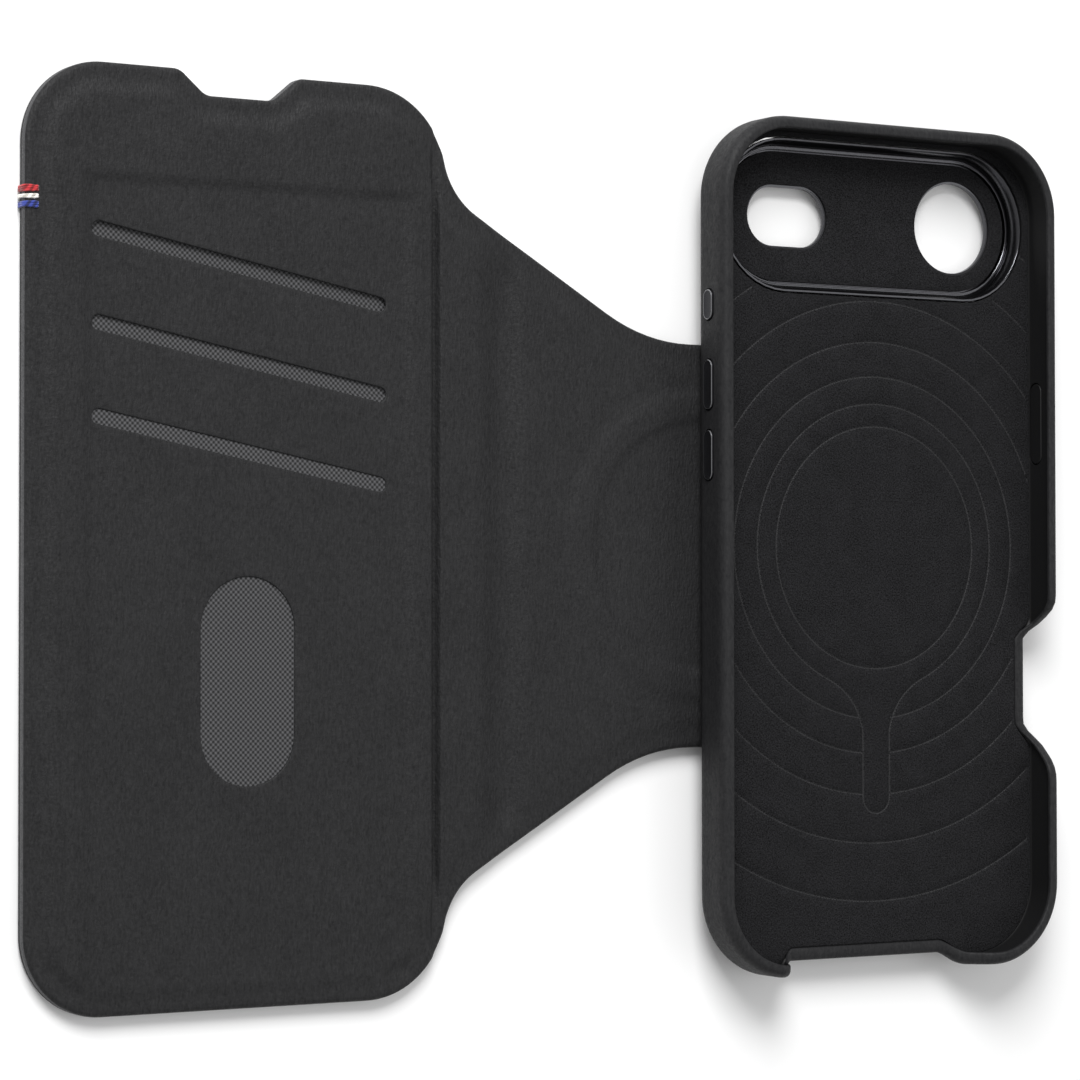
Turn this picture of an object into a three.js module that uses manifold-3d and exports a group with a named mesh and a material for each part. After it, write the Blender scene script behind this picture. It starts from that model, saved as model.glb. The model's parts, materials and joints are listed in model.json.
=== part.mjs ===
// A phone wallet case: a slim phone case that docks magnetically on a leather folio with card pockets.
// Millimetres, +Z up. The folio lies open and flat on its outer leather, the phone side of the case faces up,
// +X runs from the cover towards the case and +Y towards the camera end. The origin is the centre of the
// footprint, on the surface that the folio lies on.
import * as THREE from 'three';
import { mergeVertices } from 'three/addons/utils/BufferGeometryUtils.js';
import Module from 'manifold-3d';

const wasm = await Module();
wasm.setup();

// ---- Driving dimensions -------------------------------------------------------------------------------

const PHONE = { width: 74.7, height: 156.2, corner: 13.6 };

// Phone case: leather outside, a moulded shell inside it, a soft lining on the shell's floor.
const PHONE_PLAY = 0.1;
const SHELL_WALL = 1.05;
const SHELL_FLOOR = 1.2;
const CASE_LEATHER = 0.75;
const GLUE = 0.05;
const LINING = 0.5;
const LINING_PLAY = 0.1;
const LINING_SETBACK = 0.5;
const CASE_HEIGHT = 9.2;
const RIM_OVERHANG = 0.55;
const RIM_LEATHER = 0.7;
const BACK_EDGE_ROUND = 3.4;

// Folio: the cover with the pockets, the spine, and the panel that the case docks on.
const FOLIO_LENGTH = 161;
const COVER_WIDTH = 78.3;
const SPINE_WIDTH = 14.7;
const CREASE_TO_RING = 41.6;
const PULLED_OFF = 38.2;
const CREASE_HALF = 1.9;
const CREASE_GAP = 0.1;
const HINGE_LEATHER = 1.5;

const OUTER_LEATHER = 0.8;
const COVER_TOP = 3.5;
const SPINE_TOP = 3.0;
const PANEL_TOP = 3.2;
const FACE_LEATHER = 0.7;
const SEAM_WIDTH = 2.5;
const BOARD_PLAY = 0.3;

// Outline of the folio, as arcs that touch each other. The cover's corner next to the spine runs into the
// slope of the tongue by a hollow, and the slope into the tongue's straight sides by another.
const FREE_CORNER = 14.2;
const SPINE_CORNER = 16;
const COVER_PAST_CREASE = 2.6;
const SHOULDER_TURN = 12;
const SHOULDER_HOLLOW = 14;
const SLOPE_NORMAL = 59.5;
const NECK_HOLLOW = 36;
const TONGUE_HALF = 37.4;
const TONGUE_CORNER = 16;
const TONGUE_PAST_RING = 36;
const NOTCH = { fromEdge: 39.8, topHalf: 10.6, bottomHalf: 6.1, depth: 4.3, round: 2 };

// Card pockets in the cover.
const SLOT = { fromEdge: 12, length: 57.3, width: 2.6, slope: -11, firstY: 52.4, pitch: 15.85, count: 3 };
const THUMB = { fromEdge: 41.3, y: -24.4, width: 18, length: 36.1 };
const LINING_SHEET = 0.25;
const THREAD = { y: 56.9, width: 1.3, inward: 3.4, thickness: 0.35 };

// Magnet rings, the same in the case and in the panel, and the case's bar that keeps it upright on a mount.
const RING = { inner: 23.2, outer: 27.2, count: 16, thickness: 0.8, gap: 0.4, clearance: 0.3 };
const BAR = { width: 5, length: 17, y: -41.5 };

// Camera end of the case.
const CAMERA = { y: 62.3, half: 35.5, round: 14.5, floorHalf: 33.4, floorRound: 12.8, depth: 3, floor: 1.1 };
const CAMERA_LINING = 0.4;
const CAMERA_CLEARANCE = 0.3;
const CAMERA_BOTTOM_ROUND = 0.9;
const HOLE_RELIEF = 0.4;
const LENS_HOLE = { x: 20.8, radius: 8.7 };
const FLASH_HOLE = { x: -18.2, width: 17.6, height: 11.1 };

// Openings in the bottom wall and in the right one, as distances along the wall: from rim to rim at the top,
// from floor to floor below. Between the floors the case's back stops short of the phone's edge by reach.
const PORT_CUT = { rimFrom: -25.8, floorFrom: -19.5, floorTo: 14.5, rimTo: 28, reach: 0.6 };
const CONTROL_CUT = { rimFrom: -45, floorFrom: -33.5, floorTo: -17.5, rimTo: -9.2, reach: 1.5 };

// Buttons: distance along the side and length. All are pressed straight in.
const BUTTON = { height: 2.8, proud: 0.35, clearance: 0.25, z: 4.3 };
const FLANGE = { web: 0.35, thickness: 0.3, longer: 0.8, higher: 0.2 };
const BUTTONS = [
  { name: 'action_button', side: -1, y: 44.4, length: 5.6 },
  { name: 'volume_up_button', side: -1, y: 29.6, length: 9.2 },
  { name: 'volume_down_button', side: -1, y: 16.6, length: 9.2 },
  { name: 'side_button', side: 1, y: 24.5, length: 14 },
];

// ---- Places worked out from them ----------------------------------------------------------------------

const INNER_W = PHONE.width + 2 * PHONE_PLAY;
const INNER_H = PHONE.height + 2 * PHONE_PLAY;
const CASE_WALL = SHELL_WALL + GLUE + CASE_LEATHER;
const CASE_W = INNER_W + 2 * CASE_WALL;
const CASE_H = INNER_H + 2 * CASE_WALL;
const INNER_CORNER = PHONE.corner;
const CASE_CORNER = INNER_CORNER + CASE_WALL;

const TOTAL_W = COVER_WIDTH + SPINE_WIDTH + CREASE_TO_RING + PULLED_OFF + CASE_W / 2;
const COVER_LEFT = -TOTAL_W / 2;
const COVER_CREASE = COVER_LEFT + COVER_WIDTH;
const SPINE_CREASE = COVER_CREASE + SPINE_WIDTH;
const RING_X = SPINE_CREASE + CREASE_TO_RING;
const CASE_X = RING_X + PULLED_OFF;

const CASE_BOTTOM = PANEL_TOP + 0.1;
const CASE_TOP = CASE_BOTTOM + CASE_HEIGHT;
const SHELL_BOTTOM = CASE_BOTTOM + CASE_LEATHER + GLUE;
const SHELL_FLOOR_TOP = SHELL_BOTTOM + SHELL_FLOOR;
const SHELL_TOP = CASE_TOP - RIM_LEATHER - GLUE;
const LINING_BOTTOM = SHELL_FLOOR_TOP + GLUE;
const LINING_TOP = LINING_BOTTOM + LINING;
const MAGNET_TOP = SHELL_FLOOR_TOP - GLUE;
const MAGNET_FLOOR = MAGNET_TOP - RING.thickness - GLUE;

// ---- Helpers ------------------------------------------------------------------------------------------

const radians = THREE.MathUtils.degToRad;
const MOST = 200;

// A closed geometry as a solid that can be cut and joined.
function solid(geometry) {
  const bare = geometry.clone();
  bare.deleteAttribute('normal');
  bare.deleteAttribute('uv');
  const merged = mergeVertices(bare, 1e-4);
  const mesh = new wasm.Mesh({
    numProp: 3,
    vertProperties: merged.attributes.position.array,
    triVerts: new Uint32Array(merged.index.array),
  });
  return new wasm.Manifold(mesh);
}

// A shape drawn on XY and given thickness from z0 to z1, with its bottom and top edges rounded by round.
function slab(shape, z0, z1, round = 0, curveSegments = 8) {
  const geometry = new THREE.ExtrudeGeometry(shape, {
    depth: z1 - z0 - 2 * round,
    bevelEnabled: round > 0,
    bevelSize: round,
    bevelThickness: round,
    bevelOffset: -round,
    bevelSegments: 3,
    curveSegments,
  });
  geometry.translate(0, 0, z0 + round);
  return solid(geometry);
}

// The same with only its bottom edge rounded.
function tub(shape, z0, z1, round) {
  return slab(shape, z0, z1 + 2 * round, round).intersect(block(-MOST, MOST, -MOST, MOST, z0 - 1, z1));
}

function block(x0, x1, y0, y1, z0, z1) {
  const geometry = new THREE.BoxGeometry(x1 - x0, y1 - y0, z1 - z0);
  geometry.translate((x0 + x1) / 2, (y0 + y1) / 2, (z0 + z1) / 2);
  return solid(geometry);
}

// A solid as a named mesh of the scene.
function part(name, made, material) {
  const { vertProperties, triVerts, numProp } = made.getMesh();
  const positions = new Float32Array((vertProperties.length / numProp) * 3);
  for (let i = 0; i < positions.length / 3; i++) {
    positions.set(vertProperties.subarray(i * numProp, i * numProp + 3), i * 3);
  }
  const geometry = new THREE.BufferGeometry();
  geometry.setAttribute('position', new THREE.BufferAttribute(positions, 3));
  geometry.setIndex(new THREE.BufferAttribute(triVerts, 1));
  geometry.computeVertexNormals();
  const mesh = new THREE.Mesh(geometry, material);
  mesh.name = name;
  return mesh;
}

function material(color, roughness, metalness = 0) {
  return new THREE.MeshStandardMaterial({ color, roughness, metalness });
}

// A rectangle with rounded corners.
function roundedRectangle(width, height, radius) {
  const w = width / 2 - radius;
  const h = height / 2 - radius;
  const shape = new THREE.Shape();
  shape.absarc(w, h, radius, 0, Math.PI / 2);
  shape.absarc(-w, h, radius, Math.PI / 2, Math.PI);
  shape.absarc(-w, -h, radius, Math.PI, 1.5 * Math.PI);
  shape.absarc(w, -h, radius, 1.5 * Math.PI, 2 * Math.PI);
  shape.closePath();
  return shape;
}

// A stadium that is longer along X.
function stadium(length, width, x = 0, y = 0) {
  const r = width / 2;
  const w = length / 2 - r;
  const shape = new THREE.Shape();
  shape.absarc(x + w, y, r, -Math.PI / 2, Math.PI / 2);
  shape.absarc(x - w, y, r, Math.PI / 2, 1.5 * Math.PI);
  shape.closePath();
  return shape;
}

// ---- Folio outline ------------------------------------------------------------------------------------

// Points along an arc: bulging arcs shrink with the inset, hollow ones grow.
function arcPoints(cx, cy, radius, from, to, hollow, inset) {
  const r = hollow ? -(radius + inset) : radius - inset;
  const steps = Math.max(3, Math.ceil(Math.abs(to - from) / 12));
  return Array.from({ length: steps + 1 }, (_, i) => {
    const a = radians(from + ((to - from) * i) / steps);
    return new THREE.Vector2(cx + r * Math.cos(a), cy + r * Math.sin(a));
  });
}

// The upper edge of the folio from the cover's free edge to the tongue's end, moved inwards by inset.
function upperEdge(inset) {
  const top = FOLIO_LENGTH / 2;
  const corner = { x: COVER_CREASE + COVER_PAST_CREASE - SPINE_CORNER, y: top - SPINE_CORNER };
  const reach = SPINE_CORNER + SHOULDER_HOLLOW;
  const shoulder = {
    x: corner.x + reach * Math.cos(radians(SHOULDER_TURN)),
    y: corner.y + reach * Math.sin(radians(SHOULDER_TURN)),
  };
  const n = { x: Math.cos(radians(SLOPE_NORMAL)), y: Math.sin(radians(SLOPE_NORMAL)) };
  const slopeOffset = n.x * shoulder.x + n.y * shoulder.y - SHOULDER_HOLLOW;
  const neckY = TONGUE_HALF + NECK_HOLLOW;
  const neckX = (slopeOffset + NECK_HOLLOW - n.y * neckY) / n.x;
  const tongueEnd = RING_X + TONGUE_PAST_RING;
  return [
    ...arcPoints(COVER_LEFT + FREE_CORNER, top - FREE_CORNER, FREE_CORNER, 180, 90, false, inset),
    ...arcPoints(corner.x, corner.y, SPINE_CORNER, 90, SHOULDER_TURN, false, inset),
    ...arcPoints(shoulder.x, shoulder.y, SHOULDER_HOLLOW, SHOULDER_TURN, SLOPE_NORMAL, true, inset),
    ...arcPoints(neckX, neckY, NECK_HOLLOW, SLOPE_NORMAL, 90, true, inset),
    ...arcPoints(tongueEnd - TONGUE_CORNER, TONGUE_HALF - TONGUE_CORNER, TONGUE_CORNER, 90, 0, false, inset),
  ];
}

// The whole folio between two places along X, from z0 to z1, with the notch in the cover's top edge.
function folioSlab(fromX, toX, z0, z1, inset = 0) {
  const edge = upperEdge(inset);
  const shape = new THREE.Shape([...edge, ...edge.map((p) => new THREE.Vector2(p.x, -p.y)).reverse()]);
  const whole = slab(shape, z0, z1).subtract(notch(inset));
  return whole.intersect(block(fromX, toX, -MOST, MOST, z0 - 1, z1 + 1));
}

function notch(inset) {
  const top = FOLIO_LENGTH / 2;
  const x = COVER_LEFT + NOTCH.fromEdge;
  const open = NOTCH.topHalf + inset;
  const low = NOTCH.bottomHalf + inset / 2;
  const y = top - NOTCH.depth - inset;
  const shape = new THREE.Shape();
  shape.moveTo(x + open + NOTCH.round, top + 1);
  shape.quadraticCurveTo(x + open, top, x + open - NOTCH.round / 2, top - NOTCH.round / 2);
  shape.lineTo(x + low + NOTCH.round / 2, y + NOTCH.round / 2);
  shape.quadraticCurveTo(x + low, y, x + low - NOTCH.round, y);
  shape.lineTo(x - low + NOTCH.round, y);
  shape.quadraticCurveTo(x - low, y, x - low - NOTCH.round / 2, y + NOTCH.round / 2);
  shape.lineTo(x - open + NOTCH.round / 2, top - NOTCH.round / 2);
  shape.quadraticCurveTo(x - open, top, x - open - NOTCH.round, top + 1);
  shape.closePath();
  return slab(shape, -5, 20, 0, 4);
}

// The face leather of one stretch of the folio: a shallow lid, glued down all round, over what it covers.
function faceLeather(fromX, toX, top) {
  const bottom = OUTER_LEATHER + GLUE;
  const lid = folioSlab(fromX, toX, bottom, top);
  const seamFrom = fromX < -MOST / 2 ? fromX : fromX + SEAM_WIDTH / 2;
  const seamTo = toX > MOST / 2 ? toX : toX - SEAM_WIDTH / 2;
  return lid.subtract(folioSlab(seamFrom, seamTo, bottom - 1, top - FACE_LEATHER, SEAM_WIDTH));
}

// The stiffener inside it, clear of the seam all round.
function folioBoard(fromX, toX, z1) {
  const ends = SEAM_WIDTH / 2 + BOARD_PLAY;
  const z0 = OUTER_LEATHER + GLUE;
  return folioSlab(fromX + ends, toX - ends, z0, z1, SEAM_WIDTH + BOARD_PLAY);
}

// ---- Cover --------------------------------------------------------------------------------------------

const COVER_END = COVER_CREASE - CREASE_HALF;
const FACE_BOTTOM = COVER_TOP - FACE_LEATHER;
const SLOT_SLOPE = radians(SLOT.slope);

// One pocket mouth: a long narrow slot that falls towards the spine.
function slotCut(index) {
  const shape = stadium(SLOT.length, SLOT.width);
  const geometry = new THREE.ExtrudeGeometry(shape, { depth: 4, bevelEnabled: false, curveSegments: 4 });
  geometry.rotateZ(SLOT_SLOPE);
  const x = COVER_LEFT + SLOT.fromEdge + (SLOT.length / 2) * Math.cos(SLOT_SLOPE);
  const y = SLOT.firstY - index * SLOT.pitch + (SLOT.length / 2) * Math.sin(SLOT_SLOPE);
  geometry.translate(x, y, FACE_BOTTOM - 1);
  return solid(geometry);
}

// The window that a thumb reaches the cards through, upright.
function thumbWindow() {
  const shape = stadium(THUMB.length, THUMB.width);
  const geometry = new THREE.ExtrudeGeometry(shape, { depth: 4, bevelEnabled: false, curveSegments: 12 });
  geometry.rotateZ(Math.PI / 2);
  geometry.translate(COVER_LEFT + THUMB.fromEdge, THUMB.y, FACE_BOTTOM - 1);
  return solid(geometry);
}

function coverFace() {
  let face = faceLeather(-MOST, COVER_END, COVER_TOP);
  for (let i = 0; i < SLOT.count; i++) face = face.subtract(slotCut(i));
  return face.subtract(thumbWindow());
}

// A sheet of pocket lining: it starts just above its slot and reaches down behind the thumb window.
function pocketLining(index) {
  const margin = SEAM_WIDTH + 3;
  const topY = SLOT.firstY - index * SLOT.pitch + 5;
  const bottomZ = FACE_BOTTOM - (SLOT.count - index) * (LINING_SHEET + GLUE);
  const bottomY = -FOLIO_LENGTH / 2 + FREE_CORNER;
  return block(COVER_LEFT + margin, COVER_END - margin, bottomY, topY, bottomZ, bottomZ + LINING_SHEET);
}

// A thread sewn round the cover's free edge: a flat loop, open where it goes through the leather.
function thread(index) {
  const y = THREAD.y + (1 - index) * (THREAD.width + 0.05);
  const t = THREAD.thickness;
  const half = THREAD.width / 2;
  const outside = block(COVER_LEFT - t, COVER_LEFT + THREAD.inward, y - half, y + half, GLUE, COVER_TOP + t);
  return outside.subtract(block(COVER_LEFT - 0.01, MOST, -MOST, MOST, -1, COVER_TOP + 0.01));
}

// ---- Magnets ------------------------------------------------------------------------------------------

function ringMagnet(index, centreX, z) {
  const step = (2 * Math.PI) / RING.count;
  const from = index * step;
  const shape = new THREE.Shape();
  const outerGap = RING.gap / RING.outer / 2;
  const innerGap = RING.gap / RING.inner / 2;
  shape.absarc(centreX, 0, RING.outer, from + outerGap, from + step - outerGap, false);
  shape.absarc(centreX, 0, RING.inner, from + step - innerGap, from + innerGap, true);
  shape.closePath();
  return slab(shape, z, z + RING.thickness, 0, 3);
}

// The bar magnet, grown on every side by grow.
function bar(grow, z0, z1) {
  const w = BAR.width / 2 + grow;
  const l = BAR.length / 2 + grow;
  return block(-w, w, BAR.y - l, BAR.y + l, z0, z1);
}

// The groove that a ring of magnets lies in, open upwards from z.
function ringGroove(centreX, z) {
  const groove = new THREE.Shape();
  groove.absarc(centreX, 0, RING.outer + RING.clearance, 0, 2 * Math.PI);
  const island = new THREE.Path();
  island.absarc(centreX, 0, RING.inner - RING.clearance, 0, 2 * Math.PI, true);
  groove.holes.push(island);
  return slab(groove, z, z + 5, 0, 48);
}

// ---- Case ---------------------------------------------------------------------------------------------

// All of the case is drawn about its own centre and then moved to where it lies.

// A smooth-shouldered opening in a wall, drawn as distance along the wall against height.
function wallWindow({ rimFrom, floorFrom, floorTo, rimTo }) {
  const over = CASE_TOP + 2;
  const fromMid = (rimFrom + floorFrom) / 2;
  const toMid = (rimTo + floorTo) / 2;
  const shape = new THREE.Shape();
  shape.moveTo(rimFrom, over);
  shape.lineTo(rimFrom, CASE_TOP);
  shape.bezierCurveTo(fromMid, CASE_TOP, fromMid, SHELL_FLOOR_TOP, floorFrom, SHELL_FLOOR_TOP);
  shape.lineTo(floorTo, SHELL_FLOOR_TOP);
  shape.bezierCurveTo(toMid, SHELL_FLOOR_TOP, toMid, CASE_TOP, rimTo, CASE_TOP);
  shape.lineTo(rimTo, over);
  shape.closePath();
  const geometry = new THREE.ExtrudeGeometry(shape, { depth: 12, bevelEnabled: false, curveSegments: 8 });
  geometry.rotateX(Math.PI / 2);
  return geometry;
}

// The bite below it, out of the back and its edge, drawn as distance along the wall against distance
// outwards from the cavity, with its corners eased into the wall.
function backBite({ rimFrom, floorFrom, floorTo, rimTo, reach }, grow) {
  const ease = 0.45;
  const from = THREE.MathUtils.lerp(floorFrom, rimFrom, ease) - grow;
  const to = THREE.MathUtils.lerp(floorTo, rimTo, ease) + grow;
  const deep = -reach - grow;
  const out = SHELL_WALL;
  const shape = new THREE.Shape();
  shape.moveTo(from, 8);
  shape.lineTo(from, out);
  shape.bezierCurveTo((from + floorFrom) / 2, out, (from + floorFrom) / 2, deep, floorFrom, deep);
  shape.lineTo(floorTo, deep);
  shape.bezierCurveTo((to + floorTo) / 2, deep, (to + floorTo) / 2, out, to, out);
  shape.lineTo(to, 8);
  shape.closePath();
  const extent = { depth: CASE_TOP, bevelEnabled: false, curveSegments: 8 };
  const geometry = new THREE.ExtrudeGeometry(shape, extent);
  geometry.rotateX(Math.PI);
  geometry.translate(0, 0, SHELL_FLOOR_TOP + 2);
  return geometry;
}

// Both openings of the case, with the bites grown on every side by grow.
function openings(grow = 0) {
  const portWindow = wallWindow(PORT_CUT).translate(0, -INNER_H / 2 + 2, 0);
  const portBite = backBite(PORT_CUT, grow).translate(0, -INNER_H / 2, 0);
  const controlWindow = wallWindow(CONTROL_CUT).rotateZ(Math.PI / 2).translate(INNER_W / 2 - 2, 0, 0);
  const controlBite = backBite(CONTROL_CUT, grow).rotateZ(Math.PI / 2).translate(INNER_W / 2, 0, 0);
  return solid(portWindow).add(solid(portBite)).add(solid(controlWindow)).add(solid(controlBite));
}

// How deep in a side wall a button's flange rests against the shell.
const FLANGE_SEAT = CASE_LEATHER + GLUE + FLANGE.web;

// A stadium-shaped bar through a side wall, from depth in0 to in1 measured inwards from the case's outside,
// reaching past the button's cap by longer at each end and by higher above and below it.
function buttonBar(button, in0, in1, longer, higher) {
  const shape = stadium(button.length + 2 * longer, BUTTON.height + 2 * higher);
  const extent = { depth: in1 - in0, bevelEnabled: false, curveSegments: 4 };
  const geometry = new THREE.ExtrudeGeometry(shape, extent);
  geometry.rotateX(Math.PI / 2);
  geometry.rotateZ((button.side * -Math.PI) / 2);
  const x = button.side * (CASE_W / 2 - in0);
  geometry.translate(x, button.y, CASE_BOTTOM + BUTTON.z);
  return solid(geometry);
}

function buttonSolid(button) {
  const flangeAt = FLANGE_SEAT + GLUE;
  const cap = buttonBar(button, -BUTTON.proud, CASE_WALL - GLUE, 0, 0);
  return cap.add(buttonBar(button, flangeAt, flangeAt + FLANGE.thickness, FLANGE.longer, FLANGE.higher));
}

function cameraStadium(grow = 0) {
  return stadium(2 * (CAMERA.half + grow), 2 * (CAMERA.round + grow), 0, CAMERA.y);
}

function lensHoles(z0, z1, grow = 0) {
  const lens = new THREE.Shape();
  lens.absarc(LENS_HOLE.x, CAMERA.y, LENS_HOLE.radius + grow, 0, 2 * Math.PI);
  const flash = stadium(FLASH_HOLE.width + 2 * grow, FLASH_HOLE.height + 2 * grow, FLASH_HOLE.x, CAMERA.y);
  return slab(lens, z0, z1, 0, 24).add(slab(flash, z0, z1));
}

function caseLeather() {
  const outline = roundedRectangle(CASE_W, CASE_H, CASE_CORNER);
  const inset = 2 * (CASE_LEATHER + GLUE / 2);
  const hollow = roundedRectangle(CASE_W - inset, CASE_H - inset, CASE_CORNER - inset / 2);
  const mouth = roundedRectangle(
    INNER_W - 2 * RIM_OVERHANG, INNER_H - 2 * RIM_OVERHANG, INNER_CORNER - RIM_OVERHANG);
  let leather = tub(outline, CASE_BOTTOM, CASE_TOP, BACK_EDGE_ROUND)
    .subtract(tub(hollow, CASE_BOTTOM + CASE_LEATHER, CASE_TOP - RIM_LEATHER, BACK_EDGE_ROUND - CASE_LEATHER))
    .subtract(slab(mouth, SHELL_TOP - 1, CASE_TOP + 1))
    .subtract(slab(cameraStadium(CAMERA_CLEARANCE), 0, LINING_TOP))
    .subtract(openings());
  for (const button of BUTTONS) {
    leather = leather.subtract(buttonBar(button, -1, FLANGE_SEAT, BUTTON.clearance, BUTTON.clearance));
  }
  return leather;
}

function caseShell() {
  const inset = 2 * (CASE_LEATHER + GLUE);
  const outline = roundedRectangle(CASE_W - inset, CASE_H - inset, CASE_CORNER - inset / 2);
  const cavity = roundedRectangle(INNER_W, INNER_H, INNER_CORNER);
  let shell = tub(outline, SHELL_BOTTOM, SHELL_TOP, BACK_EDGE_ROUND - CASE_LEATHER - GLUE)
    .subtract(slab(cavity, SHELL_FLOOR_TOP, CASE_TOP + 1))
    .subtract(slab(cameraStadium(CAMERA_CLEARANCE), 0, LINING_TOP))
    .subtract(ringGroove(0, MAGNET_FLOOR))
    .subtract(bar(RING.clearance, MAGNET_FLOOR, CASE_TOP))
    .subtract(openings());
  const longer = FLANGE.longer + BUTTON.clearance;
  const higher = FLANGE.higher + BUTTON.clearance;
  for (const button of BUTTONS) {
    shell = shell
      .subtract(buttonBar(button, 0, FLANGE_SEAT + 1, BUTTON.clearance, BUTTON.clearance))
      .subtract(buttonBar(button, FLANGE_SEAT, CASE_WALL + 1, longer, higher));
  }
  return shell;
}

function caseLining() {
  const play = 2 * LINING_PLAY;
  const sheet = roundedRectangle(INNER_W - play, INNER_H - play, INNER_CORNER - LINING_PLAY);
  return slab(sheet, LINING_BOTTOM, LINING_TOP)
    .subtract(slab(cameraStadium(CAMERA_CLEARANCE), 0, CASE_TOP))
    .subtract(openings(LINING_SETBACK));
}

// The camera frame: a ring with a sloping wall that stands in the windows of the lining, the shell and the
// leather, and a floor with the two holes, set back so that the phone's camera bar sinks into it.
function cameraFrame() {
  const floorTop = LINING_TOP - CAMERA.depth - CAMERA_LINING - GLUE;
  const bottom = floorTop - CAMERA.floor;
  const inner = stadium(2 * CAMERA.floorHalf, 2 * CAMERA.floorRound, 0, CAMERA.y);
  return slab(cameraStadium(0), bottom, LINING_TOP, CAMERA_BOTTOM_ROUND)
    .subtract(slab(inner, floorTop, LINING_TOP + 1))
    .subtract(lensHoles(0, CASE_TOP));
}

function cameraLining() {
  const play = 2 * LINING_PLAY;
  const sheet = stadium(2 * CAMERA.floorHalf - play, 2 * CAMERA.floorRound - play, 0, CAMERA.y);
  const top = LINING_TOP - CAMERA.depth;
  return slab(sheet, top - CAMERA_LINING, top).subtract(lensHoles(0, CASE_TOP, HOLE_RELIEF));
}

// ---- Materials ----------------------------------------------------------------------------------------

const leather = material(0x2e2e2f, 0.6);
const hingeLeather = material(0x2a2a2b, 0.65);
const board = material(0x6f675a, 0.9);
const weave = material(0x545455, 0.8);
const microfibre = material(0x202021, 0.95);
const shellPlastic = material(0x151516, 0.45);
const anodised = material(0x1b1b1d, 0.3, 0.8);
const magnetMetal = material(0x9a9a9c, 0.35, 1);
const threads = [
  ['red_thread', material(0xc2272b, 0.8)],
  ['white_thread', material(0xe8e6e1, 0.8)],
  ['blue_thread', material(0x24379b, 0.8)],
];

// ---- Assembly -----------------------------------------------------------------------------------------

const wallet = new THREE.Group();

const cover = new THREE.Group();
cover.add(part('cover_outer_leather', folioSlab(-MOST, COVER_END, 0, OUTER_LEATHER), leather));
const coverBoardTop = FACE_BOTTOM - SLOT.count * (LINING_SHEET + GLUE) - GLUE;
cover.add(part('cover_board', folioBoard(-MOST, COVER_END, coverBoardTop), board));
['top', 'middle', 'bottom'].forEach((place, i) => {
  cover.add(part(`${place}_pocket_lining`, pocketLining(i), weave));
});
cover.add(part('cover_pocket_leather', coverFace(), leather));
threads.forEach(([name, colour], i) => cover.add(part(name, thread(i), colour)));
wallet.add(cover);

const SPINE_FROM = COVER_CREASE + CREASE_HALF;
const SPINE_TO = SPINE_CREASE - CREASE_HALF;
const spine = new THREE.Group();
const coverHinge = folioSlab(COVER_END + CREASE_GAP, SPINE_FROM - CREASE_GAP, 0, HINGE_LEATHER);
spine.add(part('cover_hinge_leather', coverHinge, hingeLeather));
spine.add(part('spine_outer_leather', folioSlab(SPINE_FROM, SPINE_TO, 0, OUTER_LEATHER), leather));
spine.add(part('spine_board', folioBoard(SPINE_FROM, SPINE_TO, SPINE_TOP - FACE_LEATHER - GLUE), board));
spine.add(part('spine_inner_leather', faceLeather(SPINE_FROM, SPINE_TO, SPINE_TOP), leather));
wallet.add(spine);

const PANEL_FROM = SPINE_CREASE + CREASE_HALF;
const PLATE_TOP = PANEL_TOP - FACE_LEATHER - GLUE;
const PANEL_MAGNETS = PLATE_TOP - RING.thickness - GLUE;
const panel = new THREE.Group();
const panelHinge = folioSlab(SPINE_TO + CREASE_GAP, PANEL_FROM - CREASE_GAP, 0, HINGE_LEATHER);
panel.add(part('panel_hinge_leather', panelHinge, hingeLeather));
panel.add(part('panel_outer_leather', folioSlab(PANEL_FROM, MOST, 0, OUTER_LEATHER), leather));
const plate = folioBoard(PANEL_FROM, MOST, PLATE_TOP).subtract(ringGroove(RING_X, PANEL_MAGNETS - GLUE));
panel.add(part('panel_plate', plate, board));
panel.add(part('panel_inner_leather', faceLeather(PANEL_FROM, MOST, PANEL_TOP), leather));
for (let i = 0; i < RING.count; i++) {
  const label = String(i + 1).padStart(2, '0');
  panel.add(part(`panel_magnet_${label}`, ringMagnet(i, RING_X, PANEL_MAGNETS), magnetMetal));
}
wallet.add(panel);

const phoneCase = new THREE.Group();
phoneCase.add(part('case_leather', caseLeather(), leather));
phoneCase.add(part('case_shell', caseShell(), shellPlastic));
phoneCase.add(part('case_lining', caseLining(), microfibre));
phoneCase.add(part('camera_frame', cameraFrame(), anodised));
phoneCase.add(part('camera_lining', cameraLining(), microfibre));
const caseMagnetZ = MAGNET_TOP - RING.thickness;
for (let i = 0; i < RING.count; i++) {
  const label = String(i + 1).padStart(2, '0');
  phoneCase.add(part(`case_magnet_${label}`, ringMagnet(i, 0, caseMagnetZ), magnetMetal));
}
phoneCase.add(part('case_alignment_magnet', bar(0, caseMagnetZ, MAGNET_TOP), magnetMetal));
for (const button of BUTTONS) phoneCase.add(part(button.name, buttonSolid(button), anodised));
phoneCase.position.x = CASE_X;
wallet.add(phoneCase);

export default wallet;
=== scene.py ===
# %% [markdown]
# # A wallet case that opens like a book
# The object is a leather folio for a phone: a cover with card pockets, a narrow spine and a panel, and a
# slim phone case that docks on the panel with magnets. Here it lies open on a table, with the phone case
# slid half off the panel. The imported model brings the stiff pieces, the bodies that they belong to and
# the joints. This lesson builds what the eye sees round them: leather skins creased at the folds, woven
# pocket linings, a leather-wrapped case, and a finish for every piece.

# %% Load the fixed frame
import json
import math

import bmesh
import bpy
import numpy as np
from mathutils import Matrix, Vector
from mathutils.geometry import delaunay_2d_cdt

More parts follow.
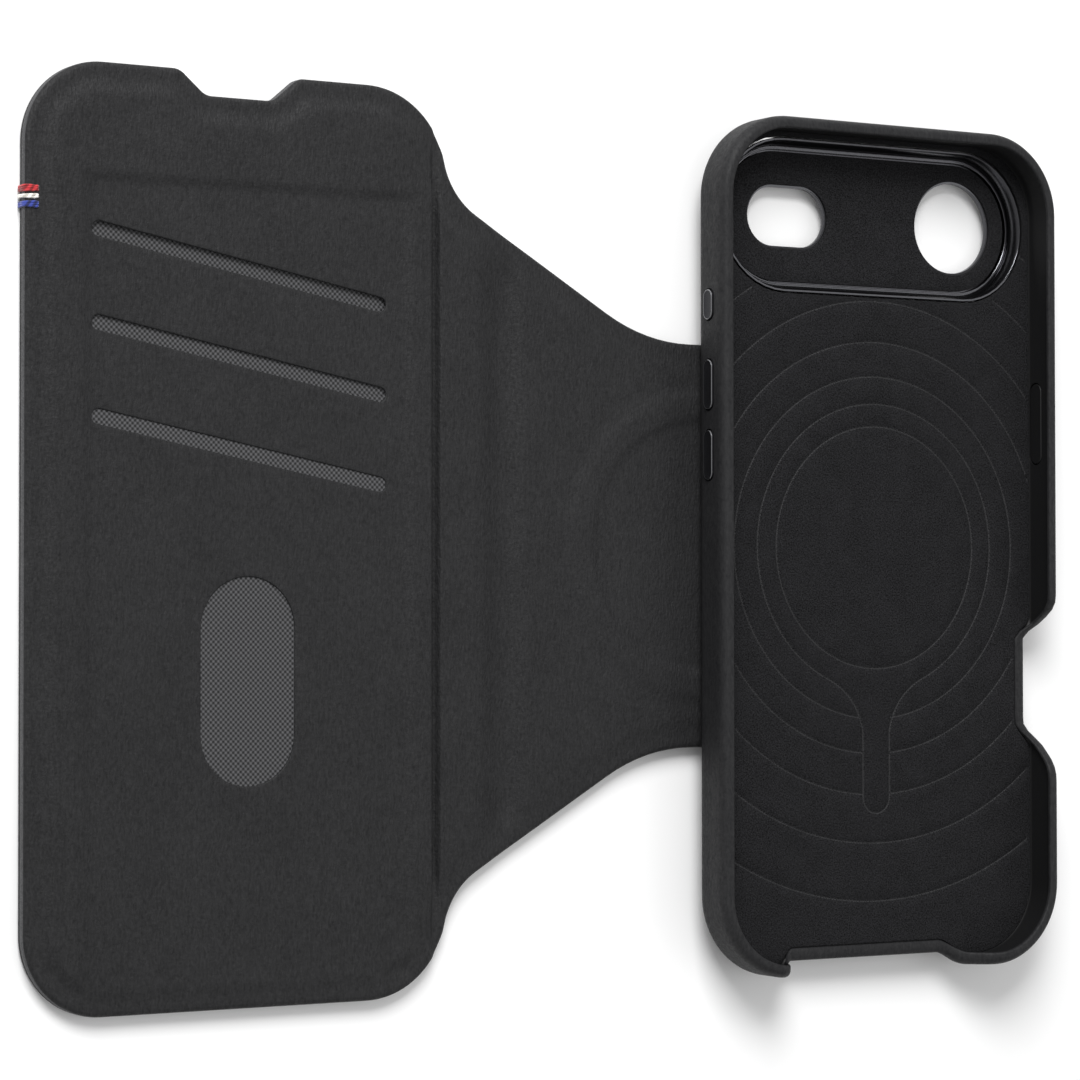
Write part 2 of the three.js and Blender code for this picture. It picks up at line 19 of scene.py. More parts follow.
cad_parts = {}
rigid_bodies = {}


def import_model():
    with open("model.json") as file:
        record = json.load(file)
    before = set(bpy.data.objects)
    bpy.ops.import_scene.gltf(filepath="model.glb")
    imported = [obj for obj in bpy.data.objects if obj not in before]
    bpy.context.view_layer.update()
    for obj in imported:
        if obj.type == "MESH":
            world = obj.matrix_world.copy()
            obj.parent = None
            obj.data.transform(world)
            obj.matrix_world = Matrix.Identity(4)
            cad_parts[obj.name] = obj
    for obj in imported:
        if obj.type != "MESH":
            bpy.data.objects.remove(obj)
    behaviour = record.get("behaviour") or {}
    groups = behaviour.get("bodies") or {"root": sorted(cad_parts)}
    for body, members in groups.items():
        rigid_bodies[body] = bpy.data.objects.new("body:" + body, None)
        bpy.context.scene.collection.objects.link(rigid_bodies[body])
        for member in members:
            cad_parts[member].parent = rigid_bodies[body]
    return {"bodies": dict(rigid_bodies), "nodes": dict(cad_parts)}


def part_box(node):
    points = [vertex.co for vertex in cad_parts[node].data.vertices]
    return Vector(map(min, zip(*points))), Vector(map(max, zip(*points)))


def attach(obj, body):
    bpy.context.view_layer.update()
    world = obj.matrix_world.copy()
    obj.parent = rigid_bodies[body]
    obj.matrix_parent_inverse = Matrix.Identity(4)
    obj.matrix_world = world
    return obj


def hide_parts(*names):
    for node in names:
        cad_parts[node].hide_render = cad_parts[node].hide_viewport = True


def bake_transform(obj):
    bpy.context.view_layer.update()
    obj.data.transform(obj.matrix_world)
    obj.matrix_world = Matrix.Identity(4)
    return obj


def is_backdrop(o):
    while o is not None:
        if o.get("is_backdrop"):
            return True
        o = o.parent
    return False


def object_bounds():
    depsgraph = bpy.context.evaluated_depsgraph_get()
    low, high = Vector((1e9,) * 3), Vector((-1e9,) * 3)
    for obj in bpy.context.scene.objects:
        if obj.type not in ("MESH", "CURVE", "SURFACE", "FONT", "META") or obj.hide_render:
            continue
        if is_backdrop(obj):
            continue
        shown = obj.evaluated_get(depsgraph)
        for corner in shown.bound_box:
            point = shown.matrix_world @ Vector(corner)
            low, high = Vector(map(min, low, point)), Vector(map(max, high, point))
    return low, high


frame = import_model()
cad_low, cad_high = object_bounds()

MM = 0.001
print("bodies:", ", ".join(frame["bodies"]))

# %% [markdown]
# ## Places, read off the frame
# All lengths below are in millimetres, and turn into metres when a mesh is made. Nothing is placed by
# eye: the edges of the cover, spine and panel, the folds and the case's centre come from the boxes of the
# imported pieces, so that a new pack moves the looks with it.

# %% Read the driving places
def span(node, axis):
    low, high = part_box(node)
    return low[axis] / MM, high[axis] / MM


COVER_LEFT, COVER_END = span("cover_outer_leather", 0)
SPINE_FROM, SPINE_TO = span("spine_outer_leather", 0)
PANEL_FROM, TONGUE_END = span("panel_outer_leather", 0)
TOP = -span("cover_outer_leather", 1)[0]
COVER_CREASE = (COVER_END + SPINE_FROM) / 2
SPINE_CREASE = (SPINE_TO + PANEL_FROM) / 2
SPINE_MIDDLE = (SPINE_FROM + SPINE_TO) / 2
COVER_TOP = span("cover_pocket_leather", 2)[1]
SPINE_TOP = span("spine_inner_leather", 2)[1]
PANEL_TOP = span("panel_inner_leather", 2)[1]
OUTER_TOP = span("cover_outer_leather", 2)[1]
INNER_BOTTOM = span("cover_pocket_leather", 2)[0]
RING_X = sum(span("panel_magnet_01", 0) + span("panel_magnet_09", 0)) / 4
print(f"cover {COVER_END - COVER_LEFT:.1f} wide, folds at {COVER_CREASE:.2f} and {SPINE_CREASE:.2f}")

# %% [markdown]
# ## Lines and their offsets
# Leather goods are cut from patterns, and a pattern is a flat line with straight runs and round corners.
# A corner list with a radius for each corner is the shortest way to write one. Every edge that is rounded
# over is the same line again, moved inwards a little and lowered a little, so each line also gets the
# direction that points into the piece at each of its points.

# %% Pattern lines
def arc(centre, radius, start, stop, step=4):
    """Points on an arc from start to stop degrees. A negative radius makes a hollow arc."""
    count = max(3, math.ceil(abs(stop - start) / step))
    turn = np.radians(np.linspace(start, stop, count + 1))
    return np.column_stack([centre[0] + radius * np.cos(turn), centre[1] + radius * np.sin(turn)])


def fillet(corners, step=6, closed=True):
    """A line through corners (x, y, radius), each turned on its radius. An open line keeps its ends."""
    points = []
    for i, (x, y, radius) in enumerate(corners):
        here = np.array((x, y))
        if not closed and i in (0, len(corners) - 1):
            points.append([here])
            continue
        before = np.array(corners[i - 1][:2]) - here
        after = np.array(corners[(i + 1) % len(corners)][:2]) - here
        before, after = before / np.linalg.norm(before), after / np.linalg.norm(after)
        half = math.acos(np.clip(before @ after, -1, 1)) / 2
        middle = before + after
        centre = here + middle / np.linalg.norm(middle) * radius / math.sin(half)
        first = here + before * radius / math.tan(half) - centre
        last = here + after * radius / math.tan(half) - centre
        start = math.degrees(math.atan2(first[1], first[0]))
        turn = (math.degrees(math.atan2(last[1], last[0])) - start + 180) % 360 - 180
        points.append(arc(centre, radius, start, start + turn, step))
    return np.vstack(points)


def stadium(x, y, length, width, turn=0.0):
    """A closed slot line, length along X before it is turned by turn degrees."""
    reach, r = length / 2 - width / 2, width / 2
    line = np.vstack([arc((reach, 0), r, -90, 90, 9), arc((-reach, 0), r, 90, 270, 9)])
    a = math.radians(turn)
    return line @ np.array([[math.cos(a), math.sin(a)], [-math.sin(a), math.cos(a)]]) + (x, y)


def subdivide(line, step, closed=True):
    """The same line with no stretch longer than step, which is a number or a function of a place."""
    ends = np.roll(line, -1, axis=0) if closed else line[1:]
    points = []
    for a, b in zip(line, ends):
        length = np.linalg.norm(b - a)
        if length < 1e-6:
            continue
        most = step((a + b) / 2) if callable(step) else step
        count = max(1, math.ceil(length / most - 1e-6))
        points.extend(a + (b - a) * k / count for k in range(count))
    if not closed:
        points.append(line[-1])
    return np.array(points)


def inward(line, closed=True):
    """Unit directions to the left of a line, which is the inside of one that runs anticlockwise."""
    if closed:
        along = np.roll(line, -1, axis=0) - np.roll(line, 1, axis=0)
    else:
        along = np.gradient(line, axis=0)
    along /= np.linalg.norm(along, axis=1)[:, None]
    return np.column_stack([-along[:, 1], along[:, 0]])


def smooth(start, stop, value):
    """0 before start, 1 after stop, and an S-shaped rise between them. start may be the larger one."""
    t = np.clip((np.asarray(value, float) - start) / (stop - start), 0, 1)
    return t * t * (3 - 2 * t)


# %% [markdown]
# ## A skin: rings, and a filled middle
# A sheet with round edges could be a subdivided box, but a slot or a crease would then spoil its whole
# grid. Here each edge is a stack of rings, as a turner would cut it, and the flat middle is filled with a
# constrained Delaunay mesh. That mesh keeps every edge line and hole exactly, and its loose points can
# lie as close together as a crease or a pressed line needs.

# %% The skin builder
def inside(points, line):
    """Which points lie inside a closed line, by counting the crossings to their left."""
    x, y = points[:, 0], points[:, 1]
    result = np.zeros(len(points), bool)
    for (ax, ay), (bx, by) in zip(line, np.roll(line, -1, axis=0)):
        if ay != by:
            crosses = (ay > y) != (by > y)
            result ^= crosses & (x < ax + (y - ay) * (bx - ax) / (by - ay))
    return result


def distance(points, line):
    """Distance from each point to the nearest point of a finely divided line."""
    nearest = np.empty(len(points))
    for i in range(0, len(points), 2000):
        block = points[i:i + 2000]
        gap = ((block[:, None, :] - line[None]) ** 2).sum(-1)
        nearest[i:i + 2000] = np.sqrt(gap.min(1))
    return nearest


class Skin:
    """Vertices and faces of one piece, in millimetres."""

    def __init__(self):
        self.points = []
        self.faces = []
        self.count = 0

    def ring(self, line, z):
        """Adds a line at height z, a number or one for each point, and returns its vertices."""
        line = np.asarray(line, float)
        self.points.append(np.column_stack([line, np.broadcast_to(z, len(line))]))
        self.count += len(line)
        return np.arange(self.count - len(line), self.count)

    def at(self, vertices):
        """The places of some vertices."""
        return np.vstack(self.points)[vertices]

    def join(self, a, b, closed=True):
        """A band of faces between two rings."""
        pairs = range(len(a)) if closed else range(len(a) - 1)
        for i in pairs:
            j = (i + 1) % len(a)
            self.faces.append((a[i], a[j], b[j], b[i]))

    def stack(self, rings, closed=True):
        """Bands between each ring and the next."""
        for a, b in zip(rings, rings[1:]):
            self.join(a, b, closed)

    def fill(self, outer, holes=(), height=None, grid=(), room=0.35):
        """Fills an outer ring, round the holes, with triangles through the grid's points.
        height gives those points their height. room is how near to a line one may come."""
        borders = [self.at(v)[:, :2] for v in (outer, *holes)]
        fixed = np.vstack(borders)
        loose = np.asarray(grid, float).reshape(-1, 2)
        made = np.empty(0, int)
        if len(loose):
            keep = inside(loose, borders[0]) & (distance(loose, fixed) > room)
            for hole in borders[1:]:
                keep &= ~inside(loose, hole)
            loose = loose[keep]
            made = self.ring(loose, height(loose[:, 0], loose[:, 1]))
        vertices = np.concatenate([outer, *holes, made])
        places = np.vstack([fixed, loose])
        edges, start = [], 0
        for line in borders:
            edges += [(start + i, start + (i + 1) % len(line)) for i in range(len(line))]
            start += len(line)
        flat = [Vector(p) for p in places]
        _, _, triangles, source, _, _ = delaunay_2d_cdt(flat, edges, [], 0, 1e-6)
        corners = np.array([s[0] for s in source])[np.array(triangles)]
        centres = places[corners].mean(1)
        keep = inside(centres, borders[0])
        for hole in borders[1:]:
            keep &= ~inside(centres, hole)
        self.faces.extend(map(tuple, vertices[corners[keep]]))

    def mesh(self, name, angle=40.0, merge=0.0005):
        """The finished object: doubles merged, faces pointing out, smooth except at sharp edges."""
        data = bpy.data.meshes.new(name)
        data.from_pydata(np.vstack(self.points) * MM, [], [tuple(int(i) for i in f) for f in self.faces])
        return finished(name, data, angle, merge)


def finished(name, data, angle=40.0, merge=0.0005):
    """Cleans a mesh and shows it as an object. An edge without two faces counts as open."""
    work = bmesh.new()
    work.from_mesh(data)
    bmesh.ops.remove_doubles(work, verts=work.verts, dist=merge * MM)
    bmesh.ops.dissolve_degenerate(work, edges=work.edges, dist=1e-8)
    loose = [v for v in work.verts if not v.link_faces]
    bmesh.ops.delete(work, geom=loose, context="VERTS")
    bmesh.ops.recalc_face_normals(work, faces=work.faces)
    open_edges = sum(1 for e in work.edges if not e.is_manifold)
    work.to_mesh(data)
    work.free()
    data.shade_smooth()
    data.set_sharp_from_angle(angle=math.radians(angle))
    piece = bpy.data.objects.new(name, data)
    bpy.context.scene.collection.objects.link(piece)
    print(f"{name}: {len(data.polygons)} faces, {open_edges} open edges")
    return piece


def lattice(x_lines, y_lines, shift=0.0):
    """Grid points; every other row moves by shift, which breaks up long straight rows."""
    x, y = np.meshgrid(x_lines, y_lines)
    x = x + shift * (np.arange(len(y_lines)) % 2)[:, None]
    return np.column_stack([x.ravel(), y.ravel()])


def lines_between(low, high, step, fine=()):
    """Grid lines from low to high, closer together in each fine stretch (centre, half width, step)."""
    places = [low]
    while places[-1] < high:
        here = places[-1]
        steps = [s for c, half, s in fine if c - half - step < here < c + half]
        places.append(here + min([step, *steps]))
    return np.array(places[:-1])


# %% [markdown]
# ## Finishes
# Every finish starts from the real material and from how its surface was made. Colours are written as
# sRGB hex and turned to linear by one function, since shaders add light and not screen values. A grain or
# a weave is drawn by noise or waves in object space, whose scale is worked out from a size in
# millimetres: the texture repeats once in that size, wherever the piece lies.

# %% Shader helpers
def linear(hex_colour):
    """An sRGB hex colour as the linear RGBA that a shader takes."""
    values = [int(hex_colour[i:i + 2], 16) / 255 for i in (1, 3, 5)]
    return (*[v / 12.92 if v <= 0.04045 else ((v + 0.055) / 1.055) ** 2.4 for v in values], 1.0)


def node(tree, kind, settings=(), out=None, **links):
    """Adds a node, sets its properties and sockets, links its inputs, and returns the output in use."""
    made = tree.nodes.new("ShaderNode" + kind)

    def socket(key):
        if key[1:].isdigit():
            return made.inputs[int(key[1:])]
        return next(s for s in made.inputs if s.enabled and s.name == key.replace("_", " "))

    for key, value in dict(settings).items():
        if hasattr(made, key):
            setattr(made, key, value)
        else:
            socket(key).default_value = value
    for key, value in links.items():
        tree.links.new(value, socket(key))
    return made.outputs[out] if out else next(s for s in made.outputs if s.enabled)


def blank(name, **constants):
    """A new material with its shader's own sockets set, and its coordinates, one unit to the millimetre."""
    made = bpy.data.materials.new(name)
    made.use_nodes = True
    shader = made.node_tree.nodes["Principled BSDF"]
    for key, value in constants.items():
        shader.inputs[key.replace("_", " ")].default_value = value
    place = node(made.node_tree, "TexCoord", out="Object")
    units = node(made.node_tree, "VectorMath", {"operation": "SCALE", "Scale": 1 / MM}, _0=place)
    return made, made.node_tree, shader, units


def dress(tree, shader, tint, grain, colours, gloss, depth):
    """The last steps that every finish shares. tint chooses between two hex colours and grain between two
    roughnesses, and grain also raises the surface by depth millimetres. Both textures centre on 0.5."""
    spread = {"From Min": 0.34, "From Max": 0.66}
    chosen = node(tree, "MapRange", spread, Value=tint)
    pair = {"data_type": "RGBA", "A": linear(colours[0]), "B": linear(colours[1])}
    tree.links.new(node(tree, "Mix", pair, Factor=chosen), shader.inputs["Base Color"])
    rough = {**spread, "To Min": gloss[0], "To Max": gloss[1]}
    tree.links.new(node(tree, "MapRange", rough, Value=grain), shader.inputs["Roughness"])
    tree.links.new(node(tree, "Bump", {"Distance": depth * MM}, Height=grain), shader.inputs["Normal"])


def paint(piece, *materials):
    """Gives a piece its materials in order; every face wears the first until it is marked otherwise."""
    piece.data.materials.clear()
    for material in materials:
        piece.data.materials.append(material)


# %% [markdown]
# ### Aniline-dyed cowhide, brushed and waxed
# The folio and the case wear the same smooth leather. It was dyed through to a charcoal, and its grain
# was brushed in one direction, which leaves short wavy streaks along Y about 0.3 mm apart. Under them
# lies the pebble of the hide itself. The wax makes it a little glossier on the high spots and gives a
# soft broad sheen. The streaks are drawn at 0.36 mm, slightly coarser than real ones, so that they still
# show from a distance.

# %% Leather
STREAK = 0.36        # width of a brushed streak, mm
STREAK_LENGTH = 1.6  # its length along Y
PEBBLE = 0.55        # the hide's own grain
MOTTLE = 9.0         # slow change of the dye
FOLIO_GRAIN = 0.28   # depth of the grain, mm, several times the real one so that it shows
CASE_GRAIN = 0.1     # the leather is stretched flatter round the case


def brushed_cowhide(name, colours, depth):
    made, tree, shader, place = blank(name, IOR=1.5, Specular_IOR_Level=0.2)
    wander = node(tree, "TexNoise", {"Scale": 0.4, "Detail": 1.0}, out="Color", Vector=place)
    bend = node(tree, "VectorMath", {"operation": "SCALE", "Scale": 0.9}, _0=wander)
    bent = node(tree, "VectorMath", {"operation": "ADD"}, _0=place, _1=bend)
    along = {"Scale": (1 / STREAK, 1 / STREAK_LENGTH, 0.6 / STREAK)}
    drawn_out = node(tree, "Mapping", along, Vector=bent)
    streaks = node(tree, "TexNoise", {"Scale": 1.0, "Detail": 3.0, "Roughness": 0.6}, Vector=drawn_out)
    pebble = node(tree, "TexNoise", {"Scale": 1 / PEBBLE, "Detail": 2.0, "Roughness": 0.55}, Vector=place)
    mottle = node(tree, "TexNoise", {"Scale": 1 / MOTTLE, "Detail": 3.0, "Roughness": 0.55}, Vector=place)
    grain = node(tree, "Mix", {"data_type": "FLOAT", "Factor": 0.38}, A=streaks, B=pebble)
    tint = node(tree, "Mix", {"data_type": "FLOAT", "Factor": 0.15}, A=grain, B=mottle)
    dress(tree, shader, tint, grain, colours, (0.68, 0.5), depth)
    return made


FOLIO_HIDE = brushed_cowhide("charcoal_brushed_cowhide", ("#19191a", "#2b2b2c"), FOLIO_GRAIN)
CASE_HIDE = brushed_cowhide("charcoal_case_cowhide", ("#18181a", "#2a2a2b"), CASE_GRAIN)
print(FOLIO_HIDE.name, "and", CASE_HIDE.name)

# %% [markdown]
# ### The cut edge
# Where the hide is cut, its dyed fibres stand open. The edge is burnished with a wax, and its lighter grey
# is
# a painted highlight: the thin light line that the rounded edge catches all round the folio.

# %% Edge finish
FIBRE = 0.3  # width of a bundle of hide fibres, mm


def burnished_edge_with_painted_highlight(name, colours):
    made, tree, shader, place = blank(name, IOR=1.5)
    fibres = node(tree, "TexNoise", {"Scale": 1 / FIBRE, "Detail": 4.0, "Roughness": 0.65}, Vector=place)
    dress(tree, shader, fibres, fibres, colours, (0.75, 0.55), 0.05)
    return made


# the edge's lighter grey is a painted highlight over its real waxed finish
EDGE_WAX_AND_PAINTED_HIGHLIGHT = burnished_edge_with_painted_highlight("waxed_edge_painted_highlight", ("#2e2e30", "#444446"))
print(EDGE_WAX_AND_PAINTED_HIGHLIGHT.name)

# %% [markdown]
# ### Polyester pocket cloth
# The pockets are lined with a woven cloth in which every other thread crosses on top, so the eye sees
# rows of staggered dots, just under a millimetre apart. The relief of those dots is real geometry further
# down. The shader paints shade into the gaps between them, and adds the twist inside each thread and
# the spread of greys that multifilament yarn has.

# %% Pocket cloth
CLOTH_PITCH = 0.95  # from one dot to the next in its row, mm
FILAMENT = 0.09     # a bundle of filaments


def woven_polyester(name, colours):
    made, tree, shader, place = blank(name, IOR=1.55, Specular_IOR_Level=0.25)
    fibres = node(tree, "TexNoise", {"Scale": 1 / FILAMENT, "Detail": 2.0, "Roughness": 0.6}, Vector=place)
    wave = {"operation": "SCALE", "Scale": 2 * math.pi / CLOTH_PITCH}
    phase = node(tree, "VectorMath", wave, _0=place)
    split = tree.nodes.new("ShaderNodeSeparateXYZ")
    tree.links.new(phase, split.inputs[0])
    columns = node(tree, "Math", {"operation": "COSINE"}, _0=split.outputs["X"])
    rows = node(tree, "Math", {"operation": "COSINE"}, _0=split.outputs["Y"])
    crossing = node(tree, "Math", {"operation": "MULTIPLY"}, _0=columns, _1=rows)
    # the gaps between the dots are painted darker: painted shade where the weave dips
    gaps = {"From Min": -0.6, "From Max": 0.8, "To Min": 0.3, "To Max": 0.7}
    painted_gap_shade = node(tree, "MapRange", gaps, Value=crossing)
    tint = node(tree, "Mix", {"data_type": "FLOAT", "Factor": 0.3}, A=painted_gap_shade, B=fibres)
    dress(tree, shader, tint, fibres, colours, (0.7, 0.5), 0.03)
    return made


POCKET_CLOTH = woven_polyester("woven_polyester_lining", ("#0d0d0e", "#58585a"))
print(POCKET_CLOTH.name, "with dots", CLOTH_PITCH, "mm apart")

# %% [markdown]
# ### Microfibre suede
# The case is lined with a black microfibre that protects the phone's back. Its nap scatters light, so it
# shows a fine speckle and no gloss. Where a tool has pressed the nap flat it turns smoother and lighter,
# which is what draws the thin rings of the lining.

# %% Suede
NAP = 0.28  # a tuft of fibres, mm, about twice the real size so that the speckle shows
NAP_DEPTH = 0.16  # likewise deeper than the real nap


def microfibre_suede(name, colours, gloss=(0.98, 0.9), depth=NAP_DEPTH):
    made, tree, shader, place = blank(name, IOR=1.5, Specular_IOR_Level=0.12)
    nap = node(tree, "TexNoise", {"Scale": 1 / NAP, "Detail": 4.0, "Roughness": 0.7}, Vector=place)
    brushed = node(tree, "TexNoise", {"Scale": 0.2, "Detail": 2.0}, Vector=place)
    tint = node(tree, "Mix", {"data_type": "FLOAT", "Factor": 0.08}, A=nap, B=brushed)
    dress(tree, shader, tint, nap, colours, gloss, depth)
    return made


SUEDE = microfibre_suede("black_microfibre_suede", ("#020202", "#2c2c2e"))
PRESSED_SUEDE = microfibre_suede("pressed_microfibre_suede", ("#262627", "#3c3c3d"), (0.7, 0.6), 0.03)
print(SUEDE.name, "and", PRESSED_SUEDE.name)

# %% [markdown]
# ### Moulded polycarbonate, and anodised aluminium
# The shell under the leather is polycarbonate from a spark-eroded mould, which leaves an even fine matt.
# The camera frame and the buttons are aluminium, anodised black: the frame was polished first, so it
# mirrors softly, and the buttons were bead-blasted, with their edges cut bright afterwards.

# %% Plastic and metal
def speckled(name, colours, gloss, grit, depth, **constants):
    """A hard surface with an even fine texture: the pits of a mould, or the marks of a bead blast."""
    made, tree, shader, place = blank(name, **constants)
    pits = node(tree, "TexNoise", {"Scale": 1 / grit, "Detail": 2.0, "Roughness": 0.6}, Vector=place)
    dress(tree, shader, pits, pits, colours, gloss, depth)
    return made


SPARK_PIT = 0.18     # a pit of the mould, mm, coarser than the real ones
BLAST_MARK = 0.12    # a mark of the bead blast, mm, coarser too
PLATING_GRAIN = 0.4  # unevenness of the nickel, mm
SHELL_PLASTIC = speckled("spark_eroded_polycarbonate", ("#0a0a0b", "#121213"), (0.6, 0.48), SPARK_PIT, 0.012,
                         IOR=1.585, Specular_IOR_Level=0.3)
FRAME_METAL = speckled("polished_black_anodised_aluminium", ("#4a4a4d", "#58585b"), (0.24, 0.16), BLAST_MARK,
                       0.003, Metallic=1.0)
BUTTON_METAL = speckled("blasted_black_anodised_aluminium", ("#333336", "#404043"), (0.62, 0.5), BLAST_MARK,
                        0.006, Metallic=1.0)
CUT_METAL = speckled("diamond_cut_aluminium_edge", ("#7c7c7f", "#909093"), (0.38, 0.28), BLAST_MARK, 0.002,
                     Metallic=1.0)
MAGNET_PLATE = speckled("nickel_plated_magnet", ("#b4afa4", "#c9c4b8"), (0.34, 0.22), PLATING_GRAIN,
                        0.004, Metallic=1.0)
print(SHELL_PLASTIC.name, FRAME_METAL.name, BUTTON_METAL.name, CUT_METAL.name, MAGNET_PLATE.name)

# %% [markdown]
# ### Board and thread
# Bonded leather board stiffens the folio: grey-brown, with short fibres pressed flat. The threads are
# spun polyester, and each strand is twisted, which shows as slanted ridges along it about 0.5 mm apart.

# %% Board and thread
BOARD_FIBRE = 0.5  # a bundle of leather fibres, mm
TWIST = 0.5        # from one turn of a strand to the next, mm


def bonded_board(name, colours):
    made, tree, shader, place = blank(name, IOR=1.5)
    pulp = {"Scale": 1 / BOARD_FIBRE, "Detail": 5.0, "Roughness": 0.7, "Distortion": 1.2}
    fibres = node(tree, "TexNoise", pulp, Vector=place)
    dress(tree, shader, fibres, fibres, colours, (0.92, 0.8), 0.06)
    return made


def spun_thread(name, colours):
    made, tree, shader, place = blank(name, IOR=1.55, Sheen_Weight=0.4, Sheen_Roughness=0.4)
    turned = node(tree, "Mapping", {"Rotation": (0, 0, math.radians(35))}, Vector=place)
    ridges = {"Scale": 1 / (TWIST * 2 * math.pi), "Distortion": 1.5, "Detail": 2.0}
    twist = node(tree, "TexWave", ridges, out="Fac", Vector=turned)
    hairs = node(tree, "TexNoise", {"Scale": 1 / FILAMENT, "Detail": 2.0, "Roughness": 0.7}, Vector=place)
    tint = node(tree, "Mix", {"data_type": "FLOAT", "Factor": 0.45}, A=twist, B=hairs)
    dress(tree, shader, tint, tint, colours, (0.85, 0.7), 0.08)
    return made


BOARD = bonded_board("bonded_leather_board", ("#5f574b", "#83796a"))
THREADS = {
    "red_thread": spun_thread("red_spun_polyester", ("#7d1117", "#c0262d")),
    "white_thread": spun_thread("white_spun_polyester", ("#bdbab2", "#f2efe9")),
    "blue_thread": spun_thread("blue_spun_polyester", ("#131d50", "#293c98")),
}
print(len(bpy.data.materials), "finishes")

# %% [markdown]
# ## The folio's outline
# One line bounds the cover, the spine and the tongue that carries the magnets. The cover's corner next to
# the spine turns into the slope of the tongue through a hollow arc, and the slope into the tongue's
# straight side through another, so the whole line is arcs that touch. A shallow notch in the cover's
# upper edge leaves room for the camera when the cover is shut.

# %% Outline of the folio
FREE_CORNER = 14.2
SPINE_CORNER = 16.0
COVER_PAST_CREASE = 2.6  # the cover's corner reaches past the fold
SHOULDER_TURN = 12.0     # where the corner gives way to the hollow arc, degrees up from X
SHOULDER_HOLLOW = 14.0
SLOPE_NORMAL = 59.5      # direction that the slope's edge faces, degrees
NECK_HOLLOW = 36.0
TONGUE_HALF = 37.4       # half the width of the tongue
TONGUE_CORNER = 16.0
NOTCH_X = 39.8           # middle of the notch, from the free edge
NOTCH_OPEN = 11.4        # half its width at the edge, and at its floor
NOTCH_LOW = 6.4
NOTCH_DEPTH = 4.3
NOTCH_ROUND = 3.2
BEND = 2.5               # the outline is divided more finely within about this distance of a fold


def upper_edge():
    """The arcs of the upper edge from the free edge to the tongue's end, without the notch."""
    corner = np.array((COVER_CREASE + COVER_PAST_CREASE - SPINE_CORNER, TOP - SPINE_CORNER))
    turn, slope = math.radians(SHOULDER_TURN), math.radians(SLOPE_NORMAL)
    reach = SPINE_CORNER + SHOULDER_HOLLOW
    shoulder = corner + reach * np.array((math.cos(turn), math.sin(turn)))
    normal = np.array((math.cos(slope), math.sin(slope)))
    neck_y = TONGUE_HALF + NECK_HOLLOW
    neck_x = (normal @ shoulder - SHOULDER_HOLLOW + NECK_HOLLOW - normal[1] * neck_y) / normal[0]
    tongue = (TONGUE_END - TONGUE_CORNER, TONGUE_HALF - TONGUE_CORNER)
    return [
        arc((COVER_LEFT + FREE_CORNER, TOP - FREE_CORNER), FREE_CORNER, 180, 90),
        arc(corner, SPINE_CORNER, 90, SHOULDER_TURN),
        arc(shoulder, -SHOULDER_HOLLOW, SHOULDER_TURN, SLOPE_NORMAL),
        arc((neck_x, neck_y), -NECK_HOLLOW, SLOPE_NORMAL, 90),
        arc(tongue, TONGUE_CORNER, 90, 0),
    ]


def notch():
    """The notch with a short stretch of the straight edge at either side."""
    x, low = COVER_LEFT + NOTCH_X, TOP - NOTCH_DEPTH
    corners = [(x - NOTCH_OPEN, TOP), (x - NOTCH_LOW, low), (x + NOTCH_LOW, low), (x + NOTCH_OPEN, TOP)]
    ends = (x - 2 * NOTCH_OPEN, TOP, 0), (x + 2 * NOTCH_OPEN, TOP, 0)
    return fillet([ends[0], *[(*c, NOTCH_ROUND) for c in corners], ends[1]], closed=False)


def fine_step(place):
    """Short stretches near the folds."""
    near = min(abs(place[0] - COVER_CREASE), abs(place[0] - SPINE_CREASE))
    return 0.35 if near < BEND + 0.7 else 1.0


first, *others = upper_edge()
upper = np.vstack([first, notch(), *others])
lower = np.vstack([first, *others]) * (1, -1)
OUTLINE = subdivide(np.vstack([upper[::-1], lower]), fine_step)
print(f"outline of {len(OUTLINE)} points")

# %% [markdown]
# The leather is one sheet on the real folio, which has two folds. A piece can bend across one joint only,
# and the folio has two folds, so the sheet is cut along the middle of the spine, where it always stays
# flat. Both halves have the same points along that cut, so it can't be seen.

# %% Two halves of a folio sheet
SEAM_ROOM = 3.4     # the cut's points keep this far from its ends, where the edge's rings come in
SEAM_POINTS = 50


class Half:
    """An open edge line with its inward directions, and the straight cut that closes it."""

    def __init__(self, edge, into):
        self.edge = edge
        self.into = into
        ends = edge[-1][1], edge[0][1]
        room = math.copysign(SEAM_ROOM, ends[1] - ends[0])
        places = np.linspace(ends[0] + room, ends[1] - room, SEAM_POINTS)
        self.seam = np.column_stack([np.full(SEAM_POINTS, SPINE_MIDDLE), places])

    def ring(self, skin, inset, z, seam_z):
        """A ring that is moved inwards everywhere but at the cut. inset and z may differ along the edge."""
        line = self.edge + np.reshape(inset, (-1, 1)) * self.into
        heights = np.broadcast_to(z, len(line)), np.broadcast_to(seam_z, len(self.seam))
        return skin.ring(np.vstack([line, self.seam]), np.concatenate(heights))


def halves():
    """The cover's half and the panel's half of the outline."""
    rows = np.column_stack([OUTLINE, inward(OUTLINE)])
    points = []
    for a, b in zip(rows, np.roll(rows, -1, axis=0)):
        points.append(a)
        if (a[0] - SPINE_MIDDLE) * (b[0] - SPINE_MIDDLE) < 0:
            made = a + (b - a) * (SPINE_MIDDLE - a[0]) / (b[0] - a[0])
            made[2:] = 0, 1 / made[3]  # at the cut, inward runs along it
            points.append(made)
    points = np.array(points)
    cuts = np.flatnonzero(np.abs(points[:, 0] - SPINE_MIDDLE) < 1e-9)
    points = np.roll(points, -cuts[0], axis=0)
    middle = cuts[1] - cuts[0]
    parts = points[:middle + 1], np.vstack([points[middle:], points[:1]])
    parts = sorted(parts, key=lambda rows: rows[:, 0].min())
    return [Half(part[:, :2], part[:, 2:]) for part in parts]


COVER_HALF, PANEL_HALF = halves()
print(f"cut at {SPINE_MIDDLE:.2f}, {len(COVER_HALF.edge)} and {len(PANEL_HALF.edge)} points")

